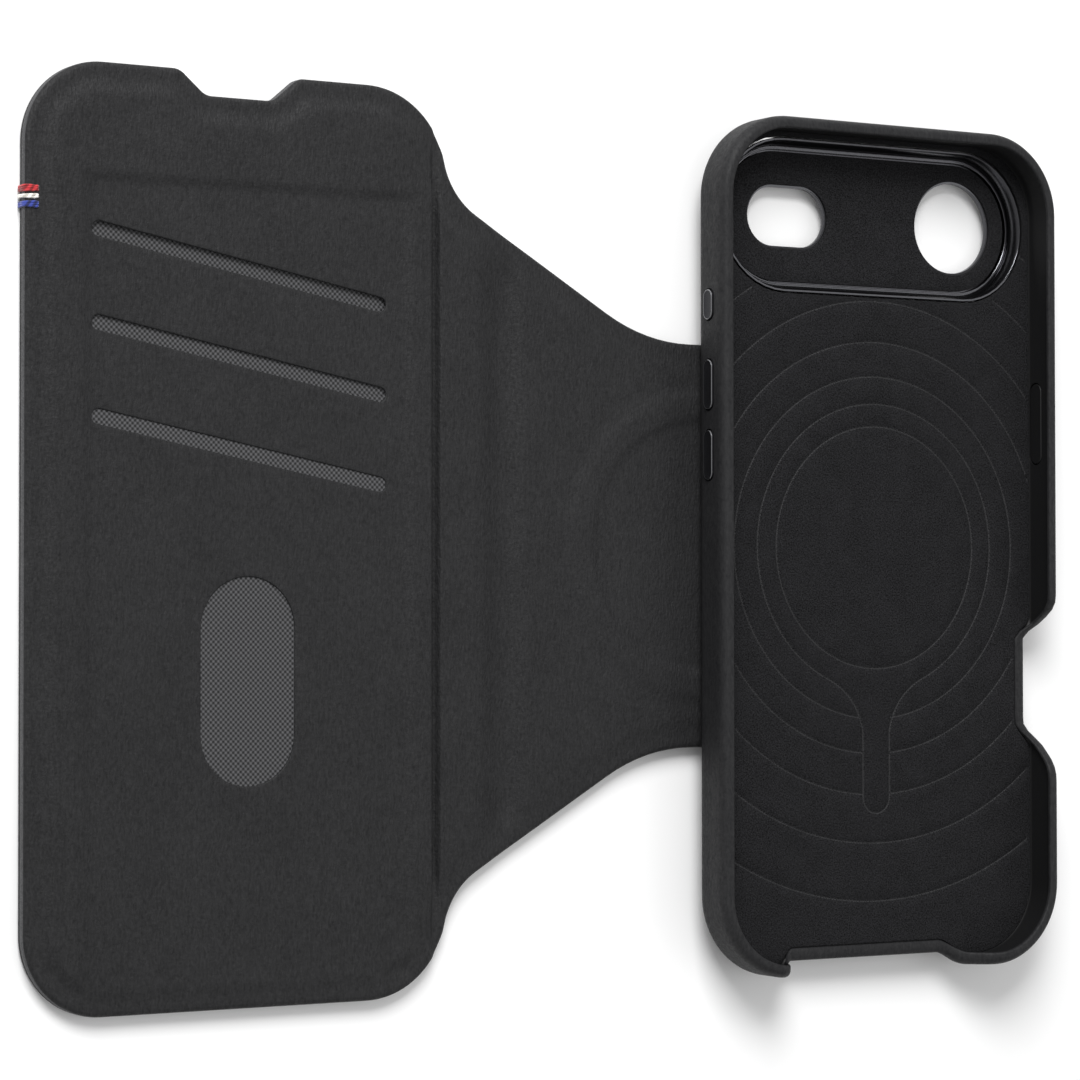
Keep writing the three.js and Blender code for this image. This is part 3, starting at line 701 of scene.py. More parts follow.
# %% [markdown]
# ## The inner leather
# The inner skin is pressed over what lies under it, so its height tells what is inside: a border where
# leather meets leather, a step up on the board, a shallow tray over the pockets, a raised ring over the
# magnets, a sharp crease at the cover and a soft one at the panel. One height function says all of that.
# It could be painted as bump, but then the folds would have no room to close and the edges would stay
# straight.

# %% Height of the inner leather
FACE = 0.7                  # thickness of the skin
EDGE_ROUND = 0.9            # its turned and pressed edge
BORDER = (2.7, 5.5)         # the step up to the board, distances from the edge
BORDER_DROP = 0.65
THIN_BORDER = 0.4           # share of that drop on the spine and on the panel
CREASE_FLOOR = 1.65         # just above the pivots
CREASE_RISE = 0.8           # the creases fade out by this much at the folio's edge
SHARP_CREASE = (0.3, 1.15)  # half width of the cover's crease, at its floor and at its top
SOFT_FALL = (6.5, 0.2)      # the spine falls to the panel's crease between these distances
SOFT_RISE = (0.3, 4.4)      # and the panel rises from it between these
TRAY = (COVER_LEFT + 10.9, COVER_CREASE - 5.6, -76.0, 61.0)
TRAY_DEPTH = 0.5
TRAY_SLOPE = 1.2
RING_INNER = 23.1
RING_OUTER = 27.6
RING_RAISED = 0.38


def folio_height(x, y):
    """Height of the grain side over a place."""
    x, y = np.asarray(x, float), np.asarray(y, float)
    gap = distance(np.column_stack([x, y]), OUTLINE)
    to_spine = smooth(COVER_CREASE - 0.5, COVER_CREASE + 0.5, x)
    to_panel = smooth(SPINE_CREASE - 0.5, SPINE_CREASE + 0.5, x)
    base = COVER_TOP + (SPINE_TOP - COVER_TOP) * to_spine
    base += (PANEL_TOP - RING_RAISED - SPINE_TOP) * to_panel
    base -= BORDER_DROP * (1 - smooth(*BORDER, gap)) * (1 - (1 - THIN_BORDER) * to_spine)
    outside = np.max([TRAY[0] - x, x - TRAY[1], TRAY[2] - y, y - TRAY[3]], axis=0)
    base -= TRAY_DEPTH * (1 - smooth(-TRAY_SLOPE, TRAY_SLOPE, outside)) * (1 - to_spine)
    radius = np.hypot(x - RING_X, y)
    ring = smooth(RING_INNER - 0.3, RING_INNER + 0.5, radius)
    ring -= smooth(RING_OUTER - 0.5, RING_OUTER + 2.2, radius)
    base += RING_RAISED * ring * smooth(3, 7, gap)
    sharp = 1 - smooth(*SHARP_CREASE, np.abs(x - COVER_CREASE))
    soft = smooth(SPINE_CREASE - SOFT_FALL[0], SPINE_CREASE - SOFT_FALL[1], x)
    soft *= 1 - smooth(SPINE_CREASE + SOFT_RISE[0], SPINE_CREASE + SOFT_RISE[1], x)
    floor = CREASE_FLOOR + CREASE_RISE * (1 - smooth(1.5, 7, gap))
    base += (floor - base) * sharp
    return base + (floor + 0.05 - base) * soft


def underside(x, y):
    """The flesh side, which lies on the pocket cloth, the boards and the plate."""
    top = folio_height(x, y)
    rest = np.full(len(top), INNER_BOTTOM)
    for piece in ("bottom_pocket_lining", "spine_board", "panel_plate"):
        low, high = (np.array(c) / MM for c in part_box(piece))
        over = (x > low[0] - 1) & (x < high[0] + 1)
        rest = np.where(over, high[2] + 0.04, rest)
    return np.minimum(np.maximum(top - FACE, rest), top - 0.3)


# %% [markdown]
# ### Slots and thumb window
# Three slots fall towards the spine at eleven degrees, and the cards slip in behind them. The upright
# window lets a thumb push them out. They are punched through the leather before it is glued, so their
# edges are nearly square with a slight roll-over from the knife.

# %% The openings of the cover
SLOT_LENGTH = 57.3
SLOT_WIDTH = 2.6
SLOT_SLOPE = -11.0      # degrees
SLOT_FROM_EDGE = 12.0   # a slot's upper end, from the free edge
SLOT_FIRST_Y = 52.4
SLOT_PITCH = 15.85
WINDOW = (COVER_LEFT + 41.3, -24.4, 36.1, 18.0)  # middle, length and width
KNIFE_ROUND = 0.22      # the roll-over at a punched edge


def slot_middle(index):
    """Middle of a slot, counted from the top."""
    turn = math.radians(SLOT_SLOPE)
    x = COVER_LEFT + SLOT_FROM_EDGE + SLOT_LENGTH / 2 * math.cos(turn)
    return x, SLOT_FIRST_Y - index * SLOT_PITCH + SLOT_LENGTH / 2 * math.sin(turn)


SLOTS = [subdivide(stadium(*slot_middle(i), SLOT_LENGTH, SLOT_WIDTH, SLOT_SLOPE), 1.0) for i in range(3)]
THUMB_WINDOW = subdivide(stadium(*WINDOW, 90.0), 1.0)
print(len(SLOTS), "slots and a window of", WINDOW[3], "x", WINDOW[2], "mm")

# %% [markdown]
# ### The inner skin
# The skin's section is walked from the flesh side, round the turned edge, to the grain side, ring by
# ring. Its grid is close near the creases and the tray's upper slope and coarse elsewhere, where a
# Subdivision Surface would spend the same points everywhere.

# %% Build the inner leather
# stretches of a finer grid: centre, half width and step
FINE_X = [(COVER_CREASE, 2.3, 0.22), (SPINE_CREASE, 2.6, 0.3), (SPINE_CREASE, 6.5, 0.6)]
FINE_Y = [(TRAY[3], 2.0, 0.5)]
TOP_STEP = 0.85
HIDDEN_STEP = 2.5
SEAM_LIP = 2.5  # width of the border that is glued down


def grid_for(half, step):
    """Points for one half of the folio. The fine rows across are only for a fine grid."""
    low, high = half.edge.min(0), half.edge.max(0)
    x = lines_between(low[0] + 0.3, min(high[0], TONGUE_END), step, FINE_X)
    y = lines_between(low[1] + 0.3, high[1], step, FINE_Y if step < 1 else ())
    return lattice(x, y)


def inner_leather(name, half, openings):
    """One half of the inner skin, with its openings punched."""
    skin = Skin()
    seam_top, seam_under = folio_height(*half.seam.T), underside(*half.seam.T)
    rim = half.edge + EDGE_ROUND * half.into
    top = folio_height(*rim.T)
    lip = half.edge + SEAM_LIP * half.into
    tall = np.minimum(EDGE_ROUND, 0.75 * (top - INNER_BOTTOM))
    rings = [
        half.ring(skin, SEAM_LIP, underside(*lip.T), seam_under),
        half.ring(skin, SEAM_LIP, INNER_BOTTOM, seam_under),
        half.ring(skin, 0.12, INNER_BOTTOM, seam_under),
        half.ring(skin, 0.0, INNER_BOTTOM + 0.12, seam_under),
    ]
    for turn in np.radians((0, 22.5, 45, 67.5, 90)):
        inset = EDGE_ROUND * (1 - math.cos(turn))
        rings.append(half.ring(skin, inset, top - tall * (1 - math.sin(turn)), seam_top))
    skin.stack(rings)
    upper, lower = [], []
    for line in openings:
        into, level = inward(line), folio_height(*line.T)
        walls = []
        for turn in np.radians((90, 60, 30, 0)):
            out = KNIFE_ROUND * (1 - math.cos(turn))
            walls.append(skin.ring(line - out * into, level - KNIFE_ROUND * (1 - math.sin(turn))))
        walls.append(skin.ring(line, underside(*line.T)))
        skin.stack(walls)
        upper.append(walls[0])
        lower.append(walls[-1])
    skin.fill(rings[-1], upper, folio_height, grid_for(half, TOP_STEP))
    skin.fill(rings[0], lower, underside, grid_for(half, HIDDEN_STEP))
    return skin.mesh(name, 50)


cover_inner = inner_leather("cover_inner_skin", COVER_HALF, [*SLOTS, THUMB_WINDOW])
panel_inner = inner_leather("panel_inner_skin", PANEL_HALF, [])

# %% [markdown]
# ### The outer leather
# The outside is a second sheet, glued to the first along its border. It is the one that lies on the
# table, and its lower edge is rounded over by the same burnishing wheel.

# %% Build the outer leather
OUTER_ROUND = 0.45


def level(z):
    """A flat height."""
    return lambda x, y: np.full(len(x), z)


def outer_leather(name, half):
    """One half of the outer skin."""
    skin = Skin()
    rings = [half.ring(skin, 0.1, OUTER_TOP, OUTER_TOP), half.ring(skin, 0.0, OUTER_TOP - 0.1, 0.0)]
    for turn in np.radians((0, 30, 60, 90)):
        inset = OUTER_ROUND * (1 - math.cos(turn))
        rings.append(half.ring(skin, inset, OUTER_ROUND * (1 - math.sin(turn)), 0.0))
    skin.stack(rings)
    skin.fill(rings[0], (), level(OUTER_TOP), grid_for(half, HIDDEN_STEP))
    skin.fill(rings[-1], (), level(0.0), grid_for(half, HIDDEN_STEP))
    return skin.mesh(name, 50)


cover_outer = outer_leather("cover_outer_skin", COVER_HALF)
panel_outer = outer_leather("panel_outer_skin", PANEL_HALF)

# %% [markdown]
# ### Finish the skins
# Each skin gets the leather, and its upright cut edge gets the lighter edge finish with its painted
# highlight. Each also stands for the plain blocks that the imported model has in its place.

# %% Finish the folio's skins
def edge_faces(piece):
    """Gives the edge finish, whose lighter grey is a painted highlight, to the upright faces along the
    outline.
    """
    centres = np.array([f.center for f in piece.data.polygons]) / MM
    upright = np.array([abs(f.normal.z) < 0.55 for f in piece.data.polygons])
    near = distance(centres[:, :2], OUTLINE) < 0.6
    # these faces get the lighter edge grey, a painted highlight
    for i in np.flatnonzero(upright & near):
        piece.data.polygons[i].material_index = 1


def fold(piece, body, x, side, *stands_for):
    """Gives a skin the leather and the edge finish, and hides the pieces that it stands for. body is not
    used.
    """
    paint(piece, FOLIO_HIDE, EDGE_WAX_AND_PAINTED_HIGHLIGHT)
    edge_faces(piece)
    start, end = ((x - side * BEND) * MM, 0, 0), ((x + side * BEND) * MM, 0, 0)
    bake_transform(piece)
    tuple(start)
    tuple(end)
    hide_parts(*stands_for)


fold(cover_inner, "cover", COVER_CREASE, 1, "cover_pocket_leather", "spine_inner_leather")
fold(cover_outer, "cover", COVER_CREASE, 1, "cover_outer_leather", "cover_hinge_leather",
     "spine_outer_leather")
fold(panel_inner, "back_panel", SPINE_CREASE, -1, "panel_inner_leather")
fold(panel_outer, "back_panel", SPINE_CREASE, -1, "panel_outer_leather", "panel_hinge_leather")
print("4 skins bend within", BEND, "mm of their fold")

# %% [markdown]
# ## Pocket cloth
# Behind each slot lies its own sheet of cloth. Seen through a slot two and a half millimetres wide, a
# flat sheet with a picture of a weave would give itself away, so the sheet is really knobbly wherever an
# opening shows it: a product of two cosines makes the staggered crossings. Elsewhere it is a plain flat
# sheet, to save points.

# %% Build the pocket linings
CROSSING = 0.09    # height of a thread crossing
SEEN_STEP = 0.19   # five points from dot to dot


def cloth_sheet(name, low, high, shown):
    """A sheet between two corners, woven inside the shown lines."""
    skin = Skin()
    corners = [(high[0], high[1], 2), (low[0], high[1], 2), (low[0], low[1], 2), (high[0], low[1], 2)]
    line = subdivide(fillet(corners, 15), 3.0)
    rims = [skin.ring(line, low[2]), skin.ring(line, high[2] - CROSSING)]
    skin.stack(rims)

    def woven(x, y):
        """Knobbly inside the shown lines, flat elsewhere."""
        wave = 2 * math.pi / CLOTH_PITCH
        places = np.column_stack([x, y])
        seen = np.zeros(len(x), bool)
        for region in shown:
            seen |= inside(places, region)
        return high[2] - CROSSING + seen * CROSSING * (0.5 + 0.5 * np.cos(wave * x) * np.cos(wave * y))

    points = [lattice(np.arange(low[0] + 3, high[0], 4.0), np.arange(low[1] + 3, high[1], 4.0))]
    for region in shown:
        (x0, y0), (x1, y1) = region.min(0), region.max(0)
        fine = lattice(np.arange(x0, x1, SEEN_STEP), np.arange(y0, y1, SEEN_STEP), SEEN_STEP / 2)
        points[0] = points[0][~inside(points[0], region)]
        points.append(fine[inside(fine, region)])
    skin.fill(rims[1], (), woven, np.vstack(points), room=0.5)
    skin.fill(rims[0])
    return skin.mesh(name, 60)


for index, place in enumerate(("top", "middle", "bottom")):
    cad_name = f"{place}_pocket_lining"
    low, high = (np.array(c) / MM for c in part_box(cad_name))
    regions = [stadium(*slot_middle(index), SLOT_LENGTH + 1, SLOT_WIDTH + 1, SLOT_SLOPE)]
    if place == "bottom":
        regions.append(stadium(WINDOW[0], WINDOW[1], WINDOW[2] + 1, WINDOW[3] + 1, 90.0))
    cloth = cloth_sheet(f"{place}_pocket_cloth", low, high, regions)
    paint(cloth, POCKET_CLOTH)
    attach(cloth, "cover")
    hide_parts(cad_name)

# %% [markdown]
# ## The sewn tack
# Three coloured threads are sewn round the free edge as a small mark. Each colour is a few turns of
# thread that lie side by side: up the cut edge, over it, and down through a hole a little over two
# millimetres further in. A bevelled curve would do, but its round end would show, so each strand is swept
# ring by ring and dives into the hide.

# %% Build the threads
STRAND = 0.23      # radius of a strand
STRAND_SPACING = 1.45 * STRAND
TACK_REACH = 2.2   # the hole's distance from the free edge
SWAY = 0.06        # a sewn thread isn't quite straight


def strand_path(y, wobble):
    """Points up the cut edge, over the border and down into the leather."""
    edge_top = float(folio_height([COVER_LEFT + EDGE_ROUND], [y])[0])
    out = COVER_LEFT - 0.6 * STRAND
    points = [(COVER_LEFT + 0.5, 0.25), (out, 0.3), (out, 1.2), (out, edge_top - 0.9)]
    reach = EDGE_ROUND + 0.6 * STRAND
    for turn in np.radians((35, 60, 80)):
        across, up = EDGE_ROUND - reach * math.cos(turn), reach * math.sin(turn) - EDGE_ROUND
        points.append((COVER_LEFT + across, edge_top + up))
    for x in COVER_LEFT + np.linspace(1.4, TACK_REACH - 0.5, 4):
        points.append((x, float(folio_height([x], [y])[0]) + 0.55 * STRAND))
    points.append((COVER_LEFT + TACK_REACH - 0.15, edge_top + 0.1))
    points.append((COVER_LEFT + TACK_REACH + 0.1, edge_top - 0.35))
    sway = np.sin(np.linspace(0, 2.4 * math.pi, len(points)) + wobble) * SWAY
    return np.array([(x, y + s, z) for (x, z), s in zip(points, sway)])


def swept(work, path, radius, sides=10):
    """A round strand along a path, closed at both ends."""
    across = np.array((0.0, 1.0, 0.0))
    turns = np.linspace(0, 2 * math.pi, sides, endpoint=False)
    rings = []
    for here, ahead in zip(path, np.gradient(path, axis=0)):
        up = np.cross(ahead / np.linalg.norm(ahead), across)
        places = [here + radius * (math.cos(t) * across + math.sin(t) * up) for t in turns]
        rings.append([work.verts.new(place * MM) for place in places])
    for a, b in zip(rings, rings[1:]):
        for i in range(sides):
            work.faces.new((a[i], a[(i + 1) % sides], b[(i + 1) % sides], b[i]))
    work.faces.new(rings[0][::-1])
    work.faces.new(rings[-1])


def curve_through(points, count):
    """A smooth line through points, with count cubic steps between each two (Catmull-Rom)."""
    ends = np.vstack([2 * points[0] - points[1], points, 2 * points[-1] - points[-2]])
    made = []
    for a, b, c, d in zip(ends, ends[1:], ends[2:], ends[3:]):
        for t in np.linspace(0, 1, count, endpoint=False):
            square, cube = (2 * a - 5 * b + 4 * c - d) * t**2, (3 * b - a - 3 * c + d) * t**3
            made.append(0.5 * (2 * b + (c - a) * t + square + cube))
    return np.vstack([*made, points[-1]])


for name, yarn in THREADS.items():
    low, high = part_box(name)
    work = bmesh.new()
    strands = 2 if name == "white_thread" else 3
    middle = (low.y + high.y) / 2 / MM
    for k in range(strands):
        y = middle + (k - (strands - 1) / 2) * STRAND_SPACING
        swept(work, curve_through(strand_path(y, 1.7 * k + middle), 4), STRAND)
    data = bpy.data.meshes.new(f"{name}_strands")
    work.to_mesh(data)
    work.free()
    strands_piece = finished(f"{name}_strands", data, 70)
    paint(strands_piece, yarn)
    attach(strands_piece, "cover")
    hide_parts(name)

# %% [markdown]
# ## The phone case
# Leather is glued round a moulded shell and turned over its rim. A box with bevelled edges would give the
# same outside, but not the two cut-outs, whose edges sink in a long S to the floor and take the leather
# with them. So the wall is a section that walks round the phone's outline: at each station it knows how
# high the rim stands there and how far the wall has moved in, and both change smoothly where a cut-out
# begins.

# %% Places of the case
WALL = 1.85             # leather, glue and shell together
CORNER = 13.6           # the phone's corner
RIM_OVERHANG = 0.55     # the turned rim reaches this far over the phone
RIM_LEATHER = 0.75
CASE_LEATHER = 0.75
GLUE = 0.05
BACK_ROUND = 2.45       # of the edge between wall and back
RIM_ROUND = (1.5, 2.0)  # how far the outer edge of the rim is rounded, across and down
RIM_BEAD = 0.42         # the turned edge's own small round
LOW_RIM = 6.0           # the rim's height at the floor of a cut-out

case_low, case_high = (np.array(c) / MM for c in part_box("case_leather"))
CASE_MIDDLE = (case_low + case_high)[:2] / 2
CASE_BOTTOM, CASE_TOP = case_low[2], case_high[2]
INNER_W, INNER_H = (case_high - case_low)[:2] - 2 * WALL
LINING_LOW, LINING_TOP = span("case_lining", 2)
SHELL_FLOOR_TOP = LINING_LOW - GLUE
SHELL_BOTTOM = span("case_shell", 2)[0]

# Cut-outs, as places along the wall: rim, floor, floor, rim, and how far the floor stops short of the phone.
PORT_CUT = (-25.8, -19.5, 14.5, 28.0, 0.6)
CONTROL_CUT = (-45.0, -33.5, -17.5, -9.2, 1.5)
BITE_EASE = 0.45        # the wall moves in over this share of the rim's fall, next to the floor


def station_step(place):
    """Short steps along the cut-outs, longer ones elsewhere."""
    near_port = place[1] < -INNER_H / 2 + CORNER and abs(place[0]) < 30
    near_control = place[0] > INNER_W / 2 - 1 and -47 < place[1] < -7
    return 0.45 if near_port or near_control else 1.4


half_w, half_h = INNER_W / 2, INNER_H / 2
turns = [(half_w, half_h), (-half_w, half_h), (-half_w, -half_h), (half_w, -half_h)]
CAVITY = subdivide(fillet([(*place, CORNER) for place in turns], 4), station_step)
OUTWARD = -inward(CAVITY)


def sweep_between(a, b, v):
    """An S that leaves and arrives more gently than a smoothstep, and is steeper in the middle."""
    t = np.linspace(0, 1, 80)
    share = np.clip((v - a) / (b - a), 0, 1)
    return np.interp(share, 1.5 * t * (1 - t) + t**3, 3 * t**2 - 2 * t**3)


def sunk(v, cut):
    """How far the rim has sunk, 0 to 1."""
    return sweep_between(cut[0], cut[1], v) * (1 - sweep_between(cut[2], cut[3], v))


def bitten(v, cut):
    """How far the wall has moved in, 0 to 1. It starts later than the rim and ends with it."""
    start = cut[1] + (cut[0] - cut[1]) * BITE_EASE
    stop = cut[2] + (cut[3] - cut[2]) * BITE_EASE
    return smooth(start, cut[1], v) * (1 - smooth(cut[2], stop, v))


at_port, at_control = OUTWARD[:, 1] < -0.5, OUTWARD[:, 0] > 0.7
SUNK = at_port * sunk(CAVITY[:, 0], PORT_CUT) + at_control * sunk(CAVITY[:, 1], CONTROL_CUT)
PORT_BITE = at_port * bitten(CAVITY[:, 0], PORT_CUT)
CONTROL_BITE = at_control * bitten(CAVITY[:, 1], CONTROL_CUT)
RIM_HEIGHT = CASE_TOP - (CASE_TOP - LOW_RIM) * SUNK
SHIFT = PORT_BITE * (WALL + PORT_CUT[4]) + CONTROL_BITE * (WALL + CONTROL_CUT[4])
print(f"{len(CAVITY)} stations, rim from {RIM_HEIGHT.min():.1f} to {RIM_HEIGHT.max():.1f}")

# %% [markdown]
# ### Lines shared by the case's pieces
# Leather, shell and lining all follow the same stations, each at its own distance from the phone, and all
# have the same camera window. So the wall's ring, the quarter turns for its roundings, the window and the
# grid for flat floors are written once.

# %% Rings round the case
def wall_ring(skin, out, z):
    """A ring at distance out from the cavity's wall, moved in where the wall is bitten."""
    out = np.broadcast_to(out, len(CAVITY))
    return skin.ring(CAVITY + OUTWARD * out[:, None] + CASE_MIDDLE, z)


def quarter(count):
    """Angles from 0 to 90 degrees for a rounding."""
    return np.radians(np.linspace(0, 90, count))


CAMERA_Y = 62.3
CAMERA_HALF = 35.5
CAMERA_ROUND = 14.5


def camera_line(grow, step=1.2):
    """The camera frame's outline, made larger by grow."""
    line = stadium(0, CAMERA_Y, 2 * (CAMERA_HALF + grow), 2 * (CAMERA_ROUND + grow))
    return subdivide(line, step) + CASE_MIDDLE


def case_grid(step):
    """Grid points over the whole case."""
    x = np.arange(-INNER_W / 2 - 2, INNER_W / 2 + 2, step)
    y = np.arange(-INNER_H / 2 - 2, INNER_H / 2 + 2, step)
    return lattice(x, y, step / 2) + CASE_MIDDLE


# %% [markdown]
# ### Case leather
# The section runs from the turned rim, over its bead, across the top and round the outer edge, down the
# wall and under the back edge. The flesh side runs back up, three quarters of a millimetre further in.

# %% Build the case leather
WINDOW_PLAY = 0.25
WINDOW_EDGE = ((0.2, 0), (0.06, 0.06), (0, 0.2))  # its small round: outwards, and up


def case_leather():
    """The leather round the shell, closed to a thin solid."""
    skin = Skin()
    mouth, outer = -RIM_OVERHANG - SHIFT, WALL - SHIFT
    tall = RIM_HEIGHT - CASE_BOTTOM
    rim_down = np.minimum(RIM_ROUND[1], 0.33 * tall)
    back_up = np.minimum(BACK_ROUND, 0.5 * tall)
    rings = [wall_ring(skin, mouth, RIM_HEIGHT - RIM_LEATHER)]
    for turn in quarter(4):
        bead = RIM_BEAD * (1 - np.cos(turn)), RIM_BEAD * (1 - np.sin(turn))
        rings.append(wall_ring(skin, mouth + bead[0], RIM_HEIGHT - bead[1]))
    for turn in quarter(7):
        across = outer - RIM_ROUND[0] * (1 - np.sin(turn))
        rings.append(wall_ring(skin, across, RIM_HEIGHT - rim_down * (1 - np.cos(turn))))
    for share in (0.25, 0.5, 0.75):
        upper, lower = RIM_HEIGHT - rim_down, CASE_BOTTOM + back_up
        rings.append(wall_ring(skin, outer, upper + (lower - upper) * share))
    for turn in quarter(9):
        across = outer - BACK_ROUND * (1 - np.cos(turn))
        rings.append(wall_ring(skin, across, CASE_BOTTOM + back_up * (1 - np.sin(turn))))
    flesh = [rings[0], wall_ring(skin, outer - CASE_LEATHER, RIM_HEIGHT - RIM_LEATHER)]
    for turn in quarter(6):
        across = outer - CASE_LEATHER - (BACK_ROUND - CASE_LEATHER) * (1 - np.cos(turn))
        drop = (back_up - CASE_LEATHER) * (1 - np.sin(turn))
        flesh.append(wall_ring(skin, across, CASE_BOTTOM + CASE_LEATHER + np.maximum(drop, 0)))
    skin.stack(rings)
    skin.stack(flesh)
    window = camera_line(WINDOW_PLAY)
    turned = [skin.ring(window - e * inward(window), CASE_BOTTOM + d) for e, d in WINDOW_EDGE]
    turned.append(skin.ring(window, CASE_BOTTOM + CASE_LEATHER))
    skin.stack(turned)
    skin.fill(rings[-1], [turned[0]], level(CASE_BOTTOM), case_grid(4.0))
    skin.fill(flesh[-1], [turned[-1]], level(CASE_BOTTOM + CASE_LEATHER), case_grid(8.0))
    return skin.mesh("case_leather_skin", 50)


leather_piece = case_leather()

# %% [markdown]
# ### Shell
# The shell carries the magnets in a groove under the lining, and its inner wall is what the eye meets
# between the lining and the rim. A small fillet where wall meets floor is the mould's own.

# %% Build the shell
SHELL_WALL = 1.05
SHELL_PLAY = 0.3        # round the camera frame
SHELL_ROUND = BACK_ROUND - WALL + SHELL_WALL
MOULD_FILLET = 0.9
THINNEST = 0.6          # of the wall where a cut-out bites into it
GROOVE = (22.9, 27.5)   # inner and outer radius of the magnets' bed
MAGNET_PLAY = 0.3
MAGNET_FLOOR = span("case_magnet_01", 2)[0] - GLUE


def case_shell():
    """The moulded shell, with beds for the magnet ring and for the upright magnet."""
    skin = Skin()
    outer = SHELL_WALL - SHIFT
    inner = np.minimum(0.0, outer - THINNEST)
    top = np.maximum(RIM_HEIGHT - RIM_LEATHER - GLUE, SHELL_FLOOR_TOP)
    up = np.minimum(SHELL_ROUND, 0.5 * (top - SHELL_BOTTOM))
    fillet_up = np.minimum(MOULD_FILLET, 0.9 * (top - SHELL_FLOOR_TOP))
    outside = [wall_ring(skin, inner, top), wall_ring(skin, outer, top)]
    for turn in quarter(6):
        across = outer - SHELL_ROUND * (1 - np.cos(turn))
        outside.append(wall_ring(skin, across, SHELL_BOTTOM + up * (1 - np.sin(turn))))
    inside_rings = [outside[0]]
    for turn in quarter(6):
        across = inner - MOULD_FILLET * (1 - np.cos(turn))
        inside_rings.append(wall_ring(skin, across, SHELL_FLOOR_TOP + fillet_up * (1 - np.sin(turn))))
    skin.stack(outside)
    skin.stack(inside_rings)
    window = [skin.ring(camera_line(SHELL_PLAY), z) for z in (SHELL_BOTTOM, SHELL_FLOOR_TOP)]
    skin.stack(window)
    circles = [subdivide(arc(CASE_MIDDLE, r, 0, 360, 5)[:-1], 3) for r in GROOVE]
    bed = [skin.ring(circles[1], SHELL_FLOOR_TOP), skin.ring(circles[1], MAGNET_FLOOR),
           skin.ring(circles[0], MAGNET_FLOOR), skin.ring(circles[0], SHELL_FLOOR_TOP)]
    skin.stack(bed)
    low, high = (np.array(c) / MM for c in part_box("case_alignment_magnet"))
    (x0, y0), (x1, y1) = low[:2] - MAGNET_PLAY, high[:2] + MAGNET_PLAY
    bar = [(x, y, MAGNET_PLAY) for x, y in ((x1, y1), (x0, y1), (x0, y0), (x1, y0))]
    pocket = [skin.ring(fillet(bar, 30), z) for z in (SHELL_FLOOR_TOP, MAGNET_FLOOR)]
    skin.stack(pocket)
    skin.fill(bed[-1])
    skin.fill(pocket[-1])
    floor_holes = [window[-1], bed[0], pocket[0]]
    skin.fill(inside_rings[-1], floor_holes, level(SHELL_FLOOR_TOP), case_grid(8.0))
    skin.fill(outside[-1], [window[0]], level(SHELL_BOTTOM), case_grid(8.0))
    return skin.mesh("case_moulded_shell", 50)


shell_piece = case_shell()

# %% [markdown]
# ### Button holes
# The buttons stand in pill-shaped holes. Such a hole crosses the wall's rings at an angle, so a Boolean
# cut is simpler than steering the rings round it. The cutters are pills too, a quarter of a millimetre
# larger than the caps, and in the shell a second, larger pill makes room for the flange that keeps the
# button in.

# %% Buttons, their places and cutters
HOLE_PLAY = 0.25
CAP_PROUD = 0.35          # a cap stands this far out of the wall
FLANGE_DEPTH = 1.2        # the flange starts this far inside it
FLANGE_GROW = (0.8, 0.2)  # and is larger than the cap by this much, along and up
SEAT_DEPTH = 1.15
PAST = 1.0                # a cutter reaches past the wall
INSIDE = 2.2              # depth inside the wall, where the caps' holes end
BUTTON_BODIES = {"action_button": "action_key", "volume_up_button": "volume_up_key",
                 "volume_down_button": "volume_down_key", "side_button": "side_key"}


def button_frame(cad_name):
    """A matrix from a button's own frame (length, height, outwards) to its place, and its cap's size."""
    low, high = (np.array(c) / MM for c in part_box(cad_name))
    side = 1 if low[0] > CASE_MIDDLE[0] else -1
    length = high[1] - low[1] - 2 * FLANGE_GROW[0]
    height = high[2] - low[2] - 2 * FLANGE_GROW[1]
    face = CASE_MIDDLE[0] + side * (INNER_W / 2 + WALL)
    middle = Vector((face, (low[1] + high[1]) / 2, (low[2] + high[2]) / 2)) * MM
    axes = Matrix(((0, 0, side), (side, 0, 0), (0, 1, 0))).to_4x4()
    return Matrix.Translation(middle) @ axes, length, height


def cutter(cad_name, grow, from_out, to_out):
    """A pill-shaped solid between two depths of the wall, round a button's place."""
    place, length, height = button_frame(cad_name)
    line = stadium(0, 0, length + 2 * grow[0], height + 2 * grow[1])
    skin = Skin()
    ends = [skin.ring(line, from_out), skin.ring(line, to_out)]
    skin.stack(ends)
    skin.fill(ends[0])
    skin.fill(ends[1])
    made = skin.mesh("cutter")
    made.data.transform(place)
    return made


def cut_holes(piece, cuts):
    """Cuts pills out of a piece and leaves no modifier and no cutter behind."""
    for cad_name in BUTTON_BODIES:
        for grow, from_out, to_out in cuts:
            knife = cutter(cad_name, grow, from_out, to_out)
            modifier = piece.modifiers.new("hole", "BOOLEAN")
            modifier.object = knife
            modifier.solver = "EXACT"
            modifier.operation = "DIFFERENCE"
            evaluated = piece.evaluated_get(bpy.context.evaluated_depsgraph_get())
            data = bpy.data.meshes.new_from_object(evaluated)
            piece.modifiers.clear()
            piece.data = data
            bpy.data.objects.remove(knife)
    piece.data.shade_smooth()
    piece.data.set_sharp_from_angle(angle=math.radians(40))
    print(f"{piece.name}: {len(piece.data.polygons)} faces after cutting")


def belongs(piece, body, cad_name):
    """Makes a piece ride on a body in the place of a packed one."""
    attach(piece, body)
    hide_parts(cad_name)


